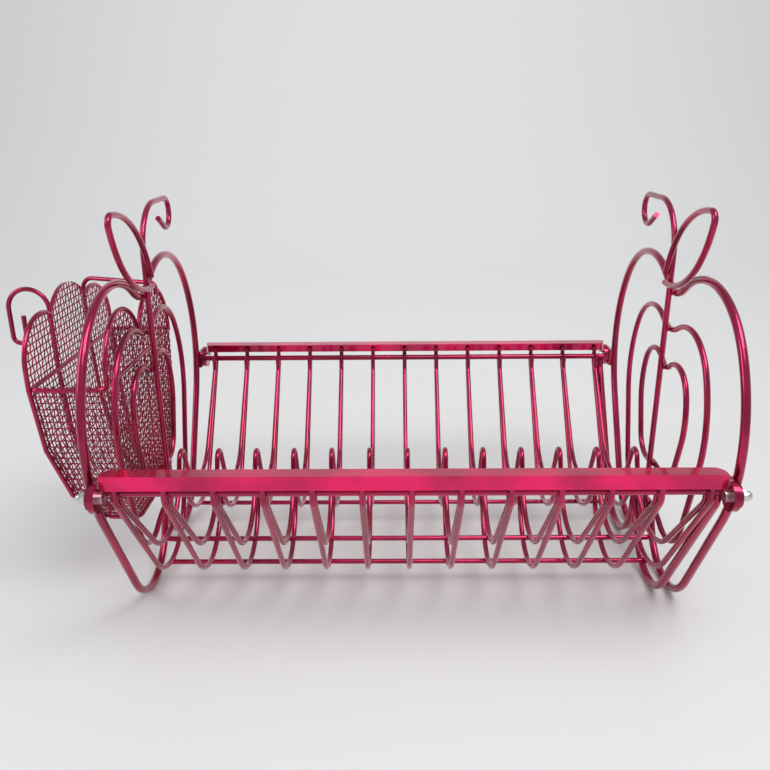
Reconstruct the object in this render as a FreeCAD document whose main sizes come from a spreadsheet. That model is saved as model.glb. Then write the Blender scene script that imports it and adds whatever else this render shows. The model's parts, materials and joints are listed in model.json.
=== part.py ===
import FreeCAD, Part
import math
import os
import Sketcher

# Dish drying rack: two apple-shaped wire end frames carry a wire basket between two rails,
# and a mesh utensil caddy hangs outside the left frame.
# X runs along the rails to the right, Y towards the back, Z up; the origin is on the worktop
# under the middle of the basket. Every wire is a round bar swept along lines and tangent arcs.

SIZES = {
    # overall
    "frame_spacing": 414.0,
    "rail_height": 132.0,
    "weld_sink": 0.25,
    # wire diameters
    "outline_dia": 6.0,
    "scroll_dia": 4.5,
    "rod_dia": 5.0,
    "cross_dia": 4.0,
    "caddy_dia": 3.5,
    # outer apple outline
    "outer_lobe_y": 62.0,
    "outer_lobe_z": 174.0,
    "outer_lobe_rad": 75.0,
    "outer_side_rad": 109.0,
    "outer_half_width": 143.5,
    "outer_foot_y": 48.0,
    "outer_foot_rad": 45.0,
    "outer_top_dip_rad": 28.0,
    "outer_foot_dip_rad": 4.0,
    # middle apple outline
    "middle_lobe_y": 38.0,
    "middle_lobe_z": 164.0,
    "middle_lobe_rad": 45.0,
    "middle_side_rad": 90.0,
    "middle_half_width": 89.0,
    "middle_foot_y": 40.0,
    "middle_foot_rad": 30.0,
    "middle_top_dip_rad": 35.0,
    "middle_foot_dip_rad": 60.0,
    # inner apple outline
    "inner_lobe_y": 24.0,
    "inner_lobe_z": 151.0,
    "inner_lobe_rad": 25.0,
    "inner_side_rad": 60.0,
    "inner_half_width": 51.5,
    "inner_foot_y": 20.0,
    "inner_foot_z": 102.0,
    "inner_foot_rad": 22.0,
    "inner_top_dip_rad": 15.0,
    "inner_foot_dip_rad": 40.0,
    # stem with its crook, and the leaf
    "stem_straight_top": 258.0,
    "stem_bend_rad": 38.0,
    "crook_y": 67.0,
    "crook_rad": 12.0,
    "crook_tail": 16.0,
    "crook_angle": 150.0,
    "leaf_start_z": 243.0,
    "leaf_end_z": 236.0,
    "leaf_tip_y": 72.0,
    "leaf_tip_z": 292.0,
    "leaf_side_rad": 76.0,
    "leaf_tip_rad": 6.0,
    # bolted joints between rails and frames
    "bolt_out": 7.0,
    "bolt_dia": 4.0,
    "bolt_clearance": 0.15,
    "thread_clearance": 0.05,
    "eye_rad": 10.0,
    "eye_thickness": 4.0,
    "lug_rad": 8.0,
    "lug_thickness": 2.5,
    "head_dia": 8.0,
    "head_height": 3.0,
    "washer_dia": 11.0,
    "washer_thickness": 1.0,
    "nut_wall": 1.5,
    "nut_height": 3.2,
    "nut_dome_wall": 1.2,
    "nut_dome_height": 1.2,
    "thread_length": 6.0,
    # rails
    "rod_out": 2.0,
    "channel_end_gap": 0.75,
    "channel_depth": 11.0,
    "channel_height": 10.0,
    "channel_lift": 4.5,
    "channel_sheet": 1.0,
    "channel_corner": 7.0,
    # cross wires
    "wire_count": 13,
    "wire_end_space": 18.0,
    "bend_rad": 10.0,
    "outer_wire_top": 9.0,
    "outer_wire_bend_drop": 2.0,
    "outer_trough_in": 95.5,
    "outer_trough_rad": 48.0,
    "outer_trough_floor": 25.0,
    "outer_hump_rad": 6.0,
    "outer_hump_top": 58.0,
    "inner_wire_top": 3.0,
    "inner_wire_bend_drop": 6.0,
    "inner_trough_in": 90.5,
    "inner_trough_rad": 46.0,
    "inner_trough_floor": 49.0,
    "inner_hump_rad": 7.0,
    "inner_hump_top": 96.0,
    "hoop_dia": 6.0,
    "hoop_end_space": 12.6,
    "hoop_in": 1.0,
    "hoop_trough_in": 99.5,
    "hoop_trough_rad": 38.0,
    "hoop_hump_rad": 6.0,
    "hoop_hump_top": 62.0,
    "hoop_bend_drop": 6.0,
    "support_overhang": 2.2,
    # utensil caddy
    "caddy_gap": 2.0,
    "caddy_depth": 53.0,
    "caddy_foot_depth": 28.0,
    "caddy_half_width": 84.0,
    "caddy_foot_half_width": 46.0,
    "caddy_floor": 60.0,
    "caddy_belly": 90.0,
    "caddy_waist": 132.0,
    "caddy_belly_share": 0.45,
    "caddy_waist_share": 0.12,
    "caddy_rim": 180.0,
    "caddy_top": 245.0,
    "caddy_sheet": 1.2,
    "caddy_corner": 4.0,
    "caddy_post_depth": 9.0,
    "caddy_wire_out": 0.5,
    "scallop_valley_y": 33.0,
    "scallop_valley_z": 222.0,
    "scallop_rad": 40.5,
    "shoulder_y": 50.0,
    "shoulder_z": 193.0,
    "inner_wall_lobe_y": 38.0,
    "inner_wall_lobe_z": 186.0,
    "inner_wall_lobe_rad": 40.0,
    # the caddy's hook and curl
    "hook_clearance": 0.6,
    "hook_bend_rad": 11.0,
    "hook_end_rad": 4.0,
    "hook_end_x": 9.0,
    "hook_end_y": 8.0,
    "hook_drop": 9.0,
    "curl_straight_top": 226.0,
    "curl_bend_rad": 15.0,
    "curl_low_z": 205.0,
    "curl_end_rad": 5.0,
    "curl_end_z": 221.0,
}

doc = FreeCAD.newDocument("dish_drying_rack")
sheet = doc.addObject("Spreadsheet::Sheet", "sizes")
for row, (alias, value) in enumerate(SIZES.items(), 1):
    sheet.set("A%d" % row, alias)
    sheet.set("B%d" % row, str(value))
    sheet.setAlias("B%d" % row, alias)
doc.recompute()


def size(alias):
    """Return the number in the sheet's cell with this alias."""
    return float(sheet.get(alias))


def plane(body, role):
    """Return one of a body's own origin planes by its role."""
    return next(item for item in body.Origin.OriginFeatures if item.Role == role)


def place(item, x="0", y="0", z="0"):
    """Bind an object's place to expressions in millimetres."""
    item.setExpression("Placement.Base.x", x)
    item.setExpression("Placement.Base.y", y)
    item.setExpression("Placement.Base.z", z)


def new_body(label):
    body = doc.addObject("PartDesign::Body", label)
    body.Label = label
    return body


def new_sketch(body, name, role, offset=None):
    """Start a sketch on one of the body's origin planes, or at an offset from it."""
    sketch = body.newObject("Sketcher::SketchObject", name)
    sketch.AttachmentSupport = [(plane(body, role), "")]
    sketch.MapMode = "FlatFace"
    if offset:
        sketch.setExpression("AttachmentOffset.Base.z", offset)
    return sketch


def turned(vector, angle):
    """Turn a plane vector anticlockwise by an angle in radians."""
    c, s = math.cos(angle), math.sin(angle)
    return (vector[0] * c - vector[1] * s, vector[0] * s + vector[1] * c)


def joining_line(c1, r1, turn1, c2, r2, turn2):
    """Ends of the line that leaves one circle and joins the next without a kink.

    turn is +1 where the path goes round a circle anticlockwise and -1 where it goes clockwise.
    """
    gap = (c2[0] - c1[0], c2[1] - c1[1])
    span = math.hypot(*gap)
    unit = (gap[0] / span, gap[1] / span)
    normal = turned(unit, math.acos((turn2 * r2 - turn1 * r1) / span))
    p1 = (c1[0] - turn1 * r1 * normal[0], c1[1] - turn1 * r1 * normal[1])
    p2 = (c2[0] - turn2 * r2 * normal[0], c2[1] - turn2 * r2 * normal[1])
    return p1, p2


def heading_from(centre, point):
    return math.atan2(point[1] - centre[1], point[0] - centre[0])


class Wire:
    """A round bar swept along one chain of lines and tangent arcs drawn in a sketch."""

    def __init__(self, label, role="YZ_Plane", offset=None):
        self.label = label
        self.body = new_body(label)
        self.path = new_sketch(self.body, label + "_path", role, offset)
        self.joint = None

    def follow(self, first, last):
        """Join the newest edge to the one before it, with no kink."""
        edge = self.path.GeometryCount - 1
        if self.joint:
            before, end = self.joint
            self.path.addConstraint(Sketcher.Constraint("Tangent", before, end, edge, first))
        self.joint = (edge, last)
        return edge

    def line(self, start, end):
        points = [FreeCAD.Vector(p[0], p[1], 0) for p in (start, end)]
        self.path.addGeometry(Part.LineSegment(*points))
        return self.follow(1, 2)

    def arc(self, centre, radius, start, end, turn):
        """Add an arc from one angle to another, anticlockwise if turn is +1."""
        middle = FreeCAD.Vector(centre[0], centre[1], 0)
        circle = Part.Circle(middle, FreeCAD.Vector(0, 0, 1), radius)
        low, high = (start, end) if turn > 0 else (end, start)
        while high <= low:
            high += 2 * math.pi
        self.path.addGeometry(Part.ArcOfCircle(circle, low, high))
        return self.follow(1, 2) if turn > 0 else self.follow(2, 1)

    def fix(self, kind, items, value, expression):
        """Add a dimension to the path and bind it to the sheet."""
        number = self.path.addConstraint(Sketcher.Constraint(kind, *items, value))
        name = "fix%d" % number
        self.path.renameConstraint(number, name)
        self.path.setExpression("Constraints." + name, expression)

    def radius(self, edge, value, expression):
        self.fix("Radius", (edge,), value, expression)

    def spot(self, edge, pos, across=None, up=None):
        """Dimension a point's two distances from the sketch's origin, each (value, expression)."""
        for kind, pair in (("DistanceX", across), ("DistanceY", up)):
            if pair:
                value, expression = pair
                if value < 0:
                    self.fix(kind, (edge, pos, -1, 1), -value, "-(" + expression + ")")
                else:
                    self.fix(kind, (-1, 1, edge, pos), value, expression)

    def on_axis(self, edge, pos):
        self.path.addConstraint(Sketcher.Constraint("PointOnObject", edge, pos, -2))

    def along(self, kind, edge):
        self.path.addConstraint(Sketcher.Constraint(kind, edge))

    def sweep(self, diameter, mirrored=False):
        """Sweep a round section along the path, and mirror it across Y = 0 if asked."""
        section = self.body.newObject("Sketcher::SketchObject", self.label + "_section")
        section.AttachmentSupport = [(self.path, "Edge1")]
        section.MapMode = "NormalToEdge"
        section.addGeometry(Part.Circle(FreeCAD.Vector(), FreeCAD.Vector(0, 0, 1), 2.0))
        section.addConstraint(Sketcher.Constraint("Coincident", 0, 3, -1, 1))
        section.addConstraint(Sketcher.Constraint("Diameter", 0, size(diameter)))
        section.setExpression("Constraints[1]", "sizes." + diameter)
        pipe = self.body.newObject("PartDesign::AdditivePipe", self.label + "_bar")
        pipe.Profile = section
        pipe.Spine = (self.path, [])
        self.body.Tip = pipe
        if mirrored:
            doc.recompute()
            both = self.body.newObject("PartDesign::Mirrored", self.label + "_both_halves")
            both.Originals = [pipe]
            both.MirrorPlane = (plane(self.body, "XZ_Plane"), [""])
            self.body.Tip = both
        return self.body


def dip_centre_height(lobe, lobe_rad, dip_rad, side):
    """Height of the middle of a dip that touches two lobes; side is +1 above them, -1 below."""
    rise = math.sqrt((lobe_rad + dip_rad) ** 2 - lobe[0] ** 2)
    return lobe[1] + side * rise


def apple(name, label, foot_height, foot_expression):
    """One closed apple outline, drawn as its right half from top dip to bottom dip."""
    def own(word):
        return size(name + "_" + word)

    lobe, lobe_rad = (own("lobe_y"), own("lobe_z")), own("lobe_rad")
    side_rad = own("side_rad")
    foot, foot_rad = (own("foot_y"), foot_height), own("foot_rad")
    dip_rad, foot_dip_rad = own("top_dip_rad"), own("foot_dip_rad")
    dip = (0.0, dip_centre_height(lobe, lobe_rad, dip_rad, 1))
    foot_dip = (0.0, dip_centre_height(foot, foot_rad, foot_dip_rad, -1))
    side_y = own("half_width") - side_rad
    step = math.sqrt((side_rad - lobe_rad) ** 2 - (lobe[0] - side_y) ** 2)
    side = (side_y, lobe[1] - step)
    leave, meet = joining_line(side, side_rad, -1, foot, foot_rad, -1)

    wire = Wire(label)
    to_lobe = heading_from(dip, lobe)
    into_side = heading_from(side, lobe)
    to_dip = heading_from(foot, foot_dip)
    top = wire.arc(dip, dip_rad, -math.pi / 2, to_lobe, 1)
    shoulder = wire.arc(lobe, lobe_rad, to_lobe + math.pi, into_side, -1)
    flank = wire.arc(side, side_rad, into_side, heading_from(side, leave), -1)
    wire.line(leave, meet)
    base = wire.arc(foot, foot_rad, heading_from(foot, meet), to_dip, -1)
    bottom = wire.arc(foot_dip, foot_dip_rad, to_dip + math.pi, math.pi / 2, 1)

    for edge, word in ((top, "top_dip_rad"), (shoulder, "lobe_rad"), (flank, "side_rad"),
                       (base, "foot_rad"), (bottom, "foot_dip_rad")):
        wire.radius(edge, own(word), "sizes.%s_%s" % (name, word))
    wire.on_axis(top, 1)
    wire.on_axis(top, 3)
    wire.on_axis(bottom, 2)
    wire.on_axis(bottom, 3)
    wire.spot(shoulder, 3, (lobe[0], "sizes.%s_lobe_y" % name), (lobe[1], "sizes.%s_lobe_z" % name))
    wire.spot(flank, 3, (side_y, "sizes.{0}_half_width - sizes.{0}_side_rad".format(name)))
    wire.spot(base, 3, (foot[0], "sizes.%s_foot_y" % name), (foot[1], foot_expression))
    return wire, foot_dip[1] + foot_dip_rad


def stem(label, bottom, bottom_expression):
    """The upright through all the dips, with the crook on top."""
    rise, bend_rad = size("stem_straight_top"), size("stem_bend_rad")
    crook, crook_rad = (size("crook_y"), rise + bend_rad - size("crook_rad")), size("crook_rad")
    turn = math.radians(size("crook_angle"))
    end = turn + math.pi / 2
    leave = (crook[0] + crook_rad * math.cos(end), crook[1] + crook_rad * math.sin(end))
    tail = size("crook_tail")
    tip = (leave[0] + tail * math.cos(turn), leave[1] + tail * math.sin(turn))

    wire = Wire(label)
    upright = wire.line((0, bottom), (0, rise))
    bend = wire.arc((bend_rad, rise), bend_rad, math.pi, math.pi / 2, -1)
    level = wire.line((bend_rad, rise + bend_rad), (crook[0], rise + bend_rad))
    hook = wire.arc(crook, crook_rad, math.pi / 2, end, -1)
    last = wire.line(leave, tip)
    wire.on_axis(upright, 1)
    wire.spot(upright, 1, up=(bottom, bottom_expression))
    wire.along("Vertical", upright)
    wire.spot(upright, 2, up=(rise, "sizes.stem_straight_top"))
    wire.radius(bend, bend_rad, "sizes.stem_bend_rad")
    wire.along("Horizontal", level)
    wire.spot(hook, 3, (crook[0], "sizes.crook_y"))
    wire.radius(hook, crook_rad, "sizes.crook_rad")
    wire.fix("Angle", (last,), turn, "sizes.crook_angle * 1 deg")
    wire.fix("Distance", (last,), tail, "sizes.crook_tail")
    return wire


def between(p1, r1, p2, r2):
    """The point at distance r1 from p1 and r2 from p2, to the right of the way from p1 to p2."""
    span = math.dist(p1, p2)
    ahead = (span ** 2 + r1 ** 2 - r2 ** 2) / (2 * span)
    aside = math.sqrt(r1 ** 2 - ahead ** 2)
    u = ((p2[0] - p1[0]) / span, (p2[1] - p1[1]) / span)
    return (p1[0] + ahead * u[0] + aside * u[1], p1[1] + ahead * u[1] - aside * u[0])


def leaf(label):
    """A pointed leaf loop: two long arcs joined by a small one at the tip."""
    start, end = (0.0, size("leaf_start_z")), (0.0, size("leaf_end_z"))
    tip, tip_rad = (-size("leaf_tip_y"), size("leaf_tip_z")), size("leaf_tip_rad")
    side_rad = size("leaf_side_rad")
    upper = between(tip, side_rad - tip_rad, start, side_rad)
    lower = between(end, side_rad, tip, side_rad - tip_rad)

    wire = Wire(label)
    first = heading_from(upper, start)
    second = heading_from(upper, tip)
    third = heading_from(lower, tip)
    last = heading_from(lower, end)
    top = wire.arc(upper, side_rad, first, second, 1)
    point = wire.arc(tip, tip_rad, second, third, 1)
    under = wire.arc(lower, side_rad, third, last, 1)
    for edge, word in ((top, "leaf_side_rad"), (point, "leaf_tip_rad"), (under, "leaf_side_rad")):
        wire.radius(edge, size(word), "sizes." + word)
    wire.on_axis(top, 1)
    wire.on_axis(under, 2)
    wire.spot(top, 1, up=(start[1], "sizes.leaf_start_z"))
    wire.spot(under, 2, up=(end[1], "sizes.leaf_end_z"))
    wire.spot(point, 3, (tip[0], "-sizes.leaf_tip_y"), (tip[1], "sizes.leaf_tip_z"))
    return wire


def trough_wire(label, top, bend, trough, hump):
    """A wire that drops from a rail into a trough, over the middle hump, and back up.

    Each of the four is a mapping of name to (value, expression).
    """
    bend_rad = size("bend_rad")
    elbow = (top["y"][0] - bend_rad, bend["z"][0])
    low, low_rad = (trough["y"][0], trough["z"][0]), trough["rad"][0]
    high, high_rad = (0.0, hump["z"][0]), hump["rad"][0]
    leave1, meet1 = joining_line(elbow, bend_rad, -1, low, low_rad, -1)
    leave2, meet2 = joining_line(low, low_rad, -1, high, high_rad, 1)

    wire = Wire(label)
    drop = wire.line((top["y"][0], top["z"][0]), (top["y"][0], bend["z"][0]))
    knee = wire.arc(elbow, bend_rad, 0.0, heading_from(elbow, leave1), -1)
    wire.line(leave1, meet1)
    valley = wire.arc(low, low_rad, heading_from(low, meet1), heading_from(low, leave2), -1)
    wire.line(leave2, meet2)
    crest = wire.arc(high, high_rad, heading_from(high, meet2), math.pi / 2, 1)
    wire.along("Vertical", drop)
    wire.spot(drop, 1, top["y"], top["z"])
    wire.spot(drop, 2, up=bend["z"])
    wire.radius(knee, bend_rad, "sizes.bend_rad")
    wire.spot(valley, 3, trough["y"], trough["z"])
    wire.radius(valley, *trough["rad"])
    wire.on_axis(crest, 3)
    wire.on_axis(crest, 2)
    wire.spot(crest, 3, up=hump["z"])
    wire.radius(crest, *hump["rad"])
    return wire


HALF = "sizes.frame_spacing / 2"
FRAME_X = size("frame_spacing") / 2
STEM_AT = HALF + " - (sizes.outline_dia + sizes.scroll_dia) / 2 + sizes.weld_sink"
SCROLL_AT = STEM_AT + " + sizes.scroll_dia - sizes.weld_sink"
LEAF_AT = STEM_AT + " - sizes.scroll_dia + sizes.weld_sink"
ROD_Y = "(sizes.outer_half_width + sizes.rod_out)"
BOLT_Y = "(sizes.outer_half_width + sizes.rod_out + sizes.bolt_out)"
LUG_AT = HALF + " - sizes.outline_dia / 2 + sizes.weld_sink"
EYE_AT = LUG_AT + " - sizes.lug_thickness"

# ---------------------------------------------------------------- end frames

foot_height = (size("outline_dia") / 2 + size("outer_foot_rad"),
               "sizes.outline_dia / 2 + sizes.outer_foot_rad")
middle_drop = ("sqrt((sizes.middle_foot_rad + sizes.middle_foot_dip_rad)^2"
               " - sizes.middle_foot_y^2) - sizes.middle_foot_dip_rad")
outer_drop = ("sqrt((sizes.outer_foot_rad + sizes.outer_foot_dip_rad)^2"
              " - sizes.outer_foot_y^2) - sizes.outer_foot_dip_rad")
SCROLL_STEP = "(sizes.outline_dia + sizes.scroll_dia) / 2 - sizes.weld_sink"

for side, sign in (("left", "-"), ("right", "")):
    wire, outer_apex = apple("outer", side + "_outer_outline", *foot_height)
    place(wire.sweep("outline_dia", True), sign + "(" + HALF + ")")
    step = (size("outline_dia") + size("scroll_dia")) / 2 - size("weld_sink")
    reach = size("middle_foot_rad") + size("middle_foot_dip_rad")
    lift = math.sqrt(reach ** 2 - size("middle_foot_y") ** 2) - size("middle_foot_dip_rad")
    middle_foot = "%s - (%s) + %s + %s" % (foot_height[1], outer_drop, SCROLL_STEP, middle_drop)
    wire = apple("middle", side + "_middle_outline", outer_apex + step + lift, middle_foot)[0]
    place(wire.sweep("scroll_dia", True), sign + "(" + SCROLL_AT + ")")
    wire = apple("inner", side + "_inner_outline", size("inner_foot_z"), "sizes.inner_foot_z")[0]
    place(wire.sweep("scroll_dia", True), sign + "(" + SCROLL_AT + ")")
    wire = stem(side + "_stem", outer_apex - size("scroll_dia") / 2,
                "%s - (%s) - sizes.scroll_dia / 2" % (foot_height[1], outer_drop))
    place(wire.sweep("scroll_dia"), sign + "(" + STEM_AT + ")")
    place(leaf(side + "_leaf").sweep("scroll_dia"), sign + "(" + LEAF_AT + ")")

# ---------------------------------------------------------------- cross wires

rod_y = size("outer_half_width") + size("rod_out")
rail = size("rail_height")
weld_gap = (size("rod_dia") + size("cross_dia")) / 2 - size("weld_sink")
WELD_GAP = "((sizes.rod_dia + sizes.cross_dia) / 2 - sizes.weld_sink)"


def cross_wire(label, name, out):
    """One outer or inner basket wire, welded to the outside or inside of both rail rods."""
    drop, bend_drop = size(name + "_wire_top"), size(name + "_wire_bend_drop")
    floor, rad = size(name + "_trough_floor"), size(name + "_trough_rad")
    hump_top, hump_rad = size(name + "_hump_top"), size(name + "_hump_rad")

    def bound(text):
        return text.format("sizes." + name)

    top = {"y": (rod_y + out * weld_gap, "%s %s %s" % (ROD_Y, "+" if out > 0 else "-", WELD_GAP)),
           "z": (rail + drop, bound("sizes.rail_height + {0}_wire_top"))}
    bend = {"z": (rail - bend_drop, bound("sizes.rail_height - {0}_wire_bend_drop"))}
    trough = {"y": (rod_y - size(name + "_trough_in"), ROD_Y + bound(" - {0}_trough_in")),
              "z": (floor + rad, bound("{0}_trough_floor + {0}_trough_rad")),
              "rad": (rad, bound("{0}_trough_rad"))}
    hump = {"z": (hump_top - hump_rad, bound("{0}_hump_top - {0}_hump_rad")),
            "rad": (hump_rad, bound("{0}_hump_rad"))}
    return trough_wire(label, top, bend, trough, hump).sweep("cross_dia", True)


count = int(size("wire_count"))
PITCH = "((sizes.frame_spacing - 2 * sizes.wire_end_space) / (sizes.wire_count - 1))"
for number in range(1, count + 1):
    across = "(%d - (sizes.wire_count + 1) / 2) * %s" % (number, PITCH)
    place(cross_wire("outer_wire_%02d" % number, "outer", 1), across)
    place(cross_wire("inner_wire_%02d" % number, "inner", -1), across)

hoop_top = {"y": (rod_y - size("hoop_in"), ROD_Y + " - sizes.hoop_in"),
            "z": (rail - size("rod_dia") / 2 + size("weld_sink"),
                  "sizes.rail_height - sizes.rod_dia / 2 + sizes.weld_sink")}
hoop_bend = {"z": (rail - size("hoop_bend_drop"), "sizes.rail_height - sizes.hoop_bend_drop")}
hoop_trough = {"y": (rod_y - size("hoop_trough_in"), ROD_Y + " - sizes.hoop_trough_in"),
               "z": (size("hoop_dia") / 2 + size("hoop_trough_rad"),
                     "sizes.hoop_dia / 2 + sizes.hoop_trough_rad"),
               "rad": (size("hoop_trough_rad"), "sizes.hoop_trough_rad")}
hoop_hump = {"z": (size("hoop_hump_top") - size("hoop_hump_rad"),
                   "sizes.hoop_hump_top - sizes.hoop_hump_rad"),
             "rad": (size("hoop_hump_rad"), "sizes.hoop_hump_rad")}
hoop = trough_wire("end_hoop", hoop_top, hoop_bend, hoop_trough, hoop_hump)
place(hoop.sweep("hoop_dia", True), HALF + " - sizes.hoop_end_space")

# ---------------------------------------------------------------- straight bars


def bar(label, diameter, half_length, y, z):
    """A straight round bar along X, from one end to the other about the middle."""
    item = doc.addObject("Part::Cylinder", label)
    item.Label = label
    item.setExpression("Radius", "sizes.%s / 2" % diameter)
    item.setExpression("Height", "2 * (%s)" % half_length)
    item.Placement.Rotation = FreeCAD.Rotation(FreeCAD.Vector(0, 1, 0), 90)
    place(item, "-(%s)" % half_length, y, z)
    return item


ROD_HALF = EYE_AT + " - sizes.eye_thickness + sizes.weld_sink"
SUPPORT_HALF = HALF + " - sizes.wire_end_space + sizes.support_overhang"
for side, sign in (("front", "-"), ("back", "")):
    bar(side + "_rail_rod", "rod_dia", ROD_HALF, sign + ROD_Y, "sizes.rail_height")
    for name in ("outer", "inner"):
        under = "sizes.%s_trough_floor - sizes.cross_dia + sizes.weld_sink" % name
        bar("%s_%s_support_rod" % (side, name), "cross_dia", SUPPORT_HALF,
            "%s(%s - sizes.%s_trough_in)" % (sign, ROD_Y, name), under)

# ---------------------------------------------------------------- rail channels


def dimension(sketch, kind, items, value, expression):
    """Add one dimension to a sketch and bind it to the sheet."""
    number = sketch.addConstraint(Sketcher.Constraint(kind, *items, value))
    name = "fix%d" % number
    sketch.renameConstraint(number, name)
    sketch.setExpression("Constraints." + name, expression)


def closed_lines(sketch, corners):
    """Draw a closed chain of straight edges through the corners, joined end to end."""
    total = len(corners)
    for here, ahead in zip(corners, corners[1:] + corners[:1]):
        start = FreeCAD.Vector(here[0], here[1], 0)
        sketch.addGeometry(Part.LineSegment(start, FreeCAD.Vector(ahead[0], ahead[1], 0)))
    for edge in range(total):
        sketch.addConstraint(Sketcher.Constraint("Coincident", edge, 2, (edge + 1) % total, 1))


def upright_box(sketch, low, high, bounds):
    """A rectangle with its four sides at bound distances from the origin: x, y, width, height."""
    closed_lines(sketch, [low, (high[0], low[1]), high, (low[0], high[1])])
    for edge, kind in enumerate(("Horizontal", "Vertical", "Horizontal", "Vertical")):
        sketch.addConstraint(Sketcher.Constraint(kind, edge))
    for kind, value, expression in (("DistanceX", low[0], bounds[0]),
                                    ("DistanceY", low[1], bounds[1])):
        if value < 0:
            dimension(sketch, kind, (0, 1, -1, 1), -value, "-(" + expression + ")")
        else:
            dimension(sketch, kind, (-1, 1, 0, 1), value, expression)
    dimension(sketch, "DistanceX", (0, 1, 0, 2), high[0] - low[0], bounds[2])
    dimension(sketch, "DistanceY", (1, 1, 1, 2), high[1] - low[1], bounds[3])


CHANNEL_HALF = "(" + EYE_AT + " - sizes.eye_thickness - sizes.channel_end_gap)"
CHANNEL_INNER = "(%s + %s + sizes.cross_dia / 2 - sizes.weld_sink)" % (ROD_Y, WELD_GAP)
channel_half = (FRAME_X - size("outline_dia") / 2 + size("weld_sink") - size("lug_thickness")
                - size("eye_thickness") - size("channel_end_gap"))
channel_face = rod_y + weld_gap + size("cross_dia") / 2 - size("weld_sink")


def rail_channel(label, turn):
    """The folded strip outside the rail: an upright flange with a flange over the wire ends."""
    body = new_body(label)
    plan = new_sketch(body, label + "_plan", "XY_Plane", "sizes.rail_height + sizes.channel_lift")
    outside = channel_face + size("channel_sheet")
    inside = outside - size("channel_depth")
    upright_box(plan, (-channel_half, inside), (channel_half, outside),
                ("-" + CHANNEL_HALF,
                 CHANNEL_INNER + " + sizes.channel_sheet - sizes.channel_depth",
                 "2 * " + CHANNEL_HALF, "sizes.channel_depth"))
    block = body.newObject("PartDesign::Pad", label + "_block")
    block.Profile = plan
    block.setExpression("Length", "sizes.channel_height")
    end = new_sketch(body, label + "_hollow_end", "YZ_Plane")
    low = (inside - 1.0, rail + size("channel_lift") - 1.0)
    high = (channel_face, rail + size("channel_lift") + size("channel_height")
            - size("channel_sheet"))
    upright_box(end, low, high,
                (CHANNEL_INNER + " + sizes.channel_sheet - sizes.channel_depth - 1",
                 "sizes.rail_height + sizes.channel_lift - 1",
                 "sizes.channel_depth - sizes.channel_sheet + 1",
                 "sizes.channel_height - sizes.channel_sheet + 1"))
    hollow = body.newObject("PartDesign::Pocket", label + "_hollow")
    hollow.Profile = end
    hollow.Type = "ThroughAll"
    hollow.Midplane = True
    doc.recompute()
    corners = []
    for number, edge in enumerate(hollow.Shape.Edges, 1):
        first, last = edge.Vertexes[0].Point, edge.Vertexes[-1].Point
        is_upright = abs(first.x - last.x) < 0.01 and abs(first.y - last.y) < 0.01
        if is_upright and abs(first.y - inside) < 0.01:
            corners.append("Edge%d" % number)
    rounded = body.newObject("PartDesign::Fillet", label + "_corners")
    rounded.Base = (hollow, corners)
    rounded.setExpression("Radius", "sizes.channel_corner")
    body.Tip = rounded
    body.Placement.Rotation = FreeCAD.Rotation(FreeCAD.Vector(0, 0, 1), turn)
    return body


rail_channel("front_rail_channel", 180)
rail_channel("back_rail_channel", 0)

# ---------------------------------------------------------------- bolted joints


def drum(label, radius, height, x, y, sign):
    """A cylinder at a bolt, reaching outwards from x on the left or right of the rack."""
    item = doc.addObject("Part::Cylinder", label)
    item.setExpression("Radius", radius)
    item.setExpression("Height", height)
    item.Placement.Rotation = FreeCAD.Rotation(FreeCAD.Vector(0, 1, 0), 90 if sign == "" else -90)
    place(item, "%s(%s)" % (sign, x), y, "sizes.rail_height")
    return item


def fused(label, parts):
    item = doc.addObject("Part::MultiFuse", label)
    item.Shapes = parts
    item.Refine = True
    return item


def drilled(label, whole, hole):
    item = doc.addObject("Part::Cut", label)
    item.Base = whole
    item.Tool = hole
    return item


def group(label, parts):
    """Identical pieces that stay separate solids, under one name."""
    item = doc.addObject("Part::Compound", label)
    item.Label = label
    item.Links = parts
    return item


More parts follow.
